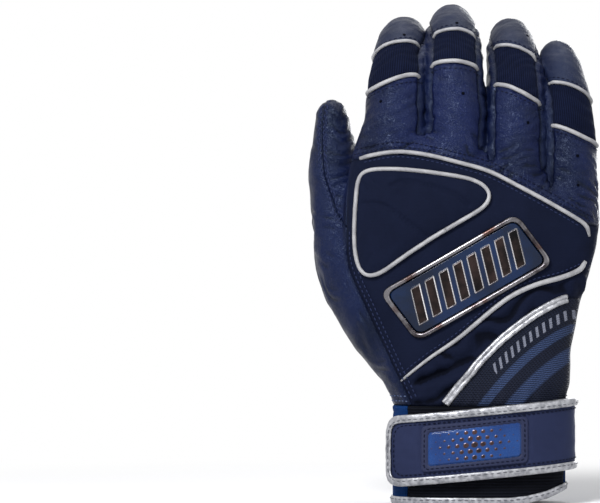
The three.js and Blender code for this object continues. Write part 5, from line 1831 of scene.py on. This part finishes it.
stitch_size = add_node(stitching, "ShaderNodeCombineXYZ", {
    0: math_node(stitching, "MULTIPLY", given["Stitch Length"], 0.5),
    1: given["Thread Radius"], 2: given["Thread Radius"]})
stitches = add_node(stitching, "GeometryNodeInstanceOnPoints", {
    "Points": spaced.outputs[0], "Instance": one_stitch.outputs["Mesh"],
    "Rotation": then_z.outputs[0], "Scale": stitch_size.outputs[0]})
coated(stitching, stitches, given["Thread"], result)


def stitched(name, rows, finish, body, pitch=2.3, length=1.7, radius=0.27):
    """Mesh of stitches along rows, each a pair of points and the normals at them."""
    points, edges, ups = [], [], []
    for path, normals in rows:
        edges += [(len(points) + k, len(points) + k + 1) for k in range(len(path) - 1)]
        points += list(path)
        ups += list(normals)
    made = make_mesh(name, points, [], edges)
    mark_points(made, "up", ups)
    applied(made, stitching, {"Pitch": pitch * MM, "Stitch Length": length * MM,
                              "Thread Radius": radius * MM, "Thread": finish})
    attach(made, body)


def beside(line, distance):
    """The same line moved sideways in the plane of the back."""
    return line + left_of(line) * distance


ROW_STEP = 0.9


def on_skin(points, lift):
    return settle(even(points, ROW_STEP), lift)


def unbroken(row):
    """The longest part of a row in which each point lies close to the next."""
    path, normals = row
    jumps = np.nonzero(np.linalg.norm(np.diff(path, axis=0), axis=1) > 3.5)[0] + 1
    parts = np.split(np.arange(len(path)), jumps)
    longest = max(parts, key=len)
    return path[longest], normals[longest]


# Heights of the rows on leather and on cloth, and their distances from their seams
ON_LEATHER, ON_CLOTH = 0.42, 0.16
BESIDE_CLOTH, BESIDE_KNUCKLES, BESIDE_THUMB, BESIDE_PALM = 2.4, (2.1, 4.3), (-1.9, -3.9), 1.9
ZIGZAG_HALF, ZIGZAG_SWING, ZIGZAG_STEP = 1.3, 0.75, 1.3
# Turns round the finger, from its back: ends of the rows at the flex panel, rows at the tip
ARC_END, TIP_ROW_TURN = math.radians(62), 1.73
PALM_HEM_ROWS = (47.9, 50.2)
hand_rows, pale_rows = [], []
for name, finger in FINGER.items():
    turns = np.linspace(-ARC_END, ARC_END, 40)
    for level in (finger.flex[1] + BESIDE_CLOTH, finger.flex[0] - BESIDE_CLOTH):
        arc = finger.point(level + finger.slope * np.sin(turns), turns)
        hand_rows.append(on_skin(arc, ON_LEATHER))
    tip_line = np.linspace(finger.flex[1] + 3, finger.reach + FINGER_TIP * 0.75, 24)
    for side in (-1, 1):
        hand_rows.append(on_skin(
            finger.point(tip_line, np.full(24, side * TIP_ROW_TURN)), ON_LEATHER))
for distance in BESIDE_KNUCKLES:
    hand_rows.append(over_back(
        even(beside(knuckle_seam[6:], distance), ROW_STEP), ON_LEATHER))
cloth_rows = [over_back(even(beside(lower_seam[4:], BESIDE_CLOTH), ROW_STEP), ON_CLOTH),
              over_back(even(beside(knuckle_seam[9:-4], -BESIDE_CLOTH), ROW_STEP), ON_CLOTH)]
for distance in BESIDE_THUMB:
    cloth_rows.append(over_back(
        even(beside(side_seam[::-1], distance)[2:-2], ROW_STEP), ON_LEATHER))
zig_rows = []
for shift in (-ZIGZAG_HALF, ZIGZAG_HALF):
    line = even(beside(zigzag_seam, shift), ZIGZAG_STEP)
    swing = np.where(np.arange(len(line)) % 2 == 0, ZIGZAG_SWING, -ZIGZAG_SWING)
    turned = line + np.outer(swing, (1.0, 0.35))
    zig_rows.append(unbroken(over_back(turned[5:], ON_LEATHER - 0.1)))
for distance in (-BESIDE_PALM, BESIDE_PALM):
    hand_rows.append(unbroken(over_back(
        even(beside(palm_seam[20:-3], distance), ROW_STEP), ON_LEATHER, side=1)))
half = STRIP_HALF + 2.0 / ROUND_FINGER
for left, right, _, first in CROTCHES.values():
    for name, sign in ((left, 1), (right, -1)):
        finger = FINGER[name]
        run = np.linspace(first + 2, finger.reach * 0.8, 40)
        pale_rows.append(on_skin(
            finger.point(run, np.full(40, sign * (math.pi / 2 + half))), ON_LEATHER))
for height in PALM_HEM_ROWS:
    run = np.linspace(slit_palm - WRIST_ROUND + 2, cuff_seam, 200)
    pale_rows.append(on_skin(round_wrist(np.stack([run, np.full(200, height)], 1), 0), 0.3))


def thread_finish(name, dark, light, roughness, specular):
    """Twisted sewing thread."""
    f = Finish(name, roughness, Specular_IOR_Level=specular)
    twist = f.noise(4000, 2, 0.5)
    return f.done(f.mix(twist, dark, light), f.bump(twist, 0.06 * MM))


navy_thread = thread_finish("navy_thread", paint(5, 8, 22), paint(14, 20, 44), 0.7, 0.1)
blue_thread = thread_finish("blue_thread", paint(18, 27, 58), paint(34, 44, 78), 0.7, 0.2)
grey_thread = thread_finish("grey_thread", paint(58, 60, 68), paint(104, 106, 114), 0.6, 0.25)
pale_thread = thread_finish("pale_thread", paint(58, 72, 106), paint(92, 106, 138), 0.7, 0.2)
stitched("hand_stitches", hand_rows, navy_thread, "glove", radius=0.33)
stitched("back_stitches", cloth_rows, blue_thread, "glove", radius=0.3)
stitched("palm_stitches", pale_rows, pale_thread, "glove", pitch=2.4,
         length=1.5, radius=0.3)
stitched("zigzag_stitches", zig_rows, blue_thread, "glove", pitch=1.5,
         length=1.8, radius=0.32)


def wrist_row(places, lift):
    """Row of stitches round the wrist, with its normals."""
    points = round_wrist(places, lift)
    return points, unit(round_wrist(places, lift + 1) - points)


frame_run = strap_patch_ring(1.5, 1.5)
frame_run = even(np.concatenate([frame_run, frame_run[:1]]), 0.8)
strap_rows = [wrist_row(frame_run, STRAP_OUTER + GAP + 0.42),
              wrist_row(even(strap_edge(STRAP_END - 2, 5.0), 0.8), STRAP_OUTER + 0.1)]
stitched("strap_stitches", strap_rows, navy_thread, "wrist_strap")
stitched("strap_tape_stitches",
         [wrist_row(even(strap_edge(edge_round(-4), 2.4), 0.8), STRAP_OUTER + FOLD + 0.12)],
         grey_thread, "wrist_strap", pitch=3.0, length=2.1, radius=0.24)
hem_row = np.stack([hem_round[3:-3], hem_height(hem_round[3:-3]) + 2.4], 1)
root_row = rectangle(*root_corners, 1.8, 0.6)
stitched("hem_stitches", [wrist_row(hem_row, NEOPRENE + FOLD + 0.12)], grey_thread,
         "glove", pitch=3.0, length=2.1, radius=0.24)
stitched("root_stitches", [wrist_row(even(root_row, 0.6), STRAP_INNER - GAP - 0.2)],
         navy_thread, "glove", pitch=1.9, length=1.4)


# Vents: small holes punched in the leather of the fingers, each drawn as a turned-in rim round a
# disc, both near black, which is painted shade in place of the hole's shaded inside. One tree of
# nodes sets a hole on every point, given across and up the hand.
VENTS = [(-23, 219), (-34.3, 187), (1.9, 224.7), (3.8, 190.8), (35.3, 219), (33.8, 177.2),
         (56.9, 161.7), (56.9, 148)]
punching, given, result = node_group(
    "GeometryNodeTree", "punched_holes",
    [("Geometry", "Geometry", None), ("Hole Radius", "Float", 0.0006),
     ("Rim Radius", "Float", 0.00018), ("Hole", "Material", None)],
    [("Geometry", "Geometry", None)])
ring, section = (
    add_node(punching, "GeometryNodeCurvePrimitiveCircle", {
        "Resolution": sides, "Radius": radius})
    for sides, radius in ((14, given["Hole Radius"]), (6, given["Rim Radius"])))
swept = add_node(punching, "GeometryNodeCurveToMesh", {
    "Curve": ring.outputs[0], "Profile Curve": section.outputs[0]})
hole_shade_disc = add_node(punching, "GeometryNodeMeshCylinder", {
    "Vertices": 14, "Depth": 0.2 * MM, "Radius": given["Hole Radius"]})
hole = add_node(punching, "GeometryNodeJoinGeometry")
fill(punching, hole, {0: swept.outputs[0]})
fill(punching, hole, {0: hole_shade_disc.outputs["Mesh"]})
upward = add_node(punching, "GeometryNodeInputNamedAttribute", {"Name": "up"},
                  data_type="FLOAT_VECTOR")
outward_turn = add_node(punching, "FunctionNodeAlignRotationToVector", {
    "Vector": upward.outputs[0]}, axis="Z")
holes = add_node(punching, "GeometryNodeInstanceOnPoints", {
    "Points": given["Geometry"], "Instance": hole.outputs[0],
    "Rotation": outward_turn.outputs[0]})
coated(punching, holes, given["Hole"], result)
# Painted shade: the rim and disc of each vent are near black, standing in for the shade inside
# the hole.
f = Finish("vent_painted_shade", roughness=0.9, Specular_IOR_Level=0.02)
vent_shade_finish = f.done(f.mix(f.noise(2500, 2, 0.5), paint(3, 4, 8), paint(10, 12, 20)))
places, normals = over_back(VENTS, ON_LEATHER - 0.05)
vents = make_mesh("finger_vents", places, [])
mark_points(vents, "up", normals)
applied(vents, punching, {"Hole": vent_shade_finish})
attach(vents, "glove")
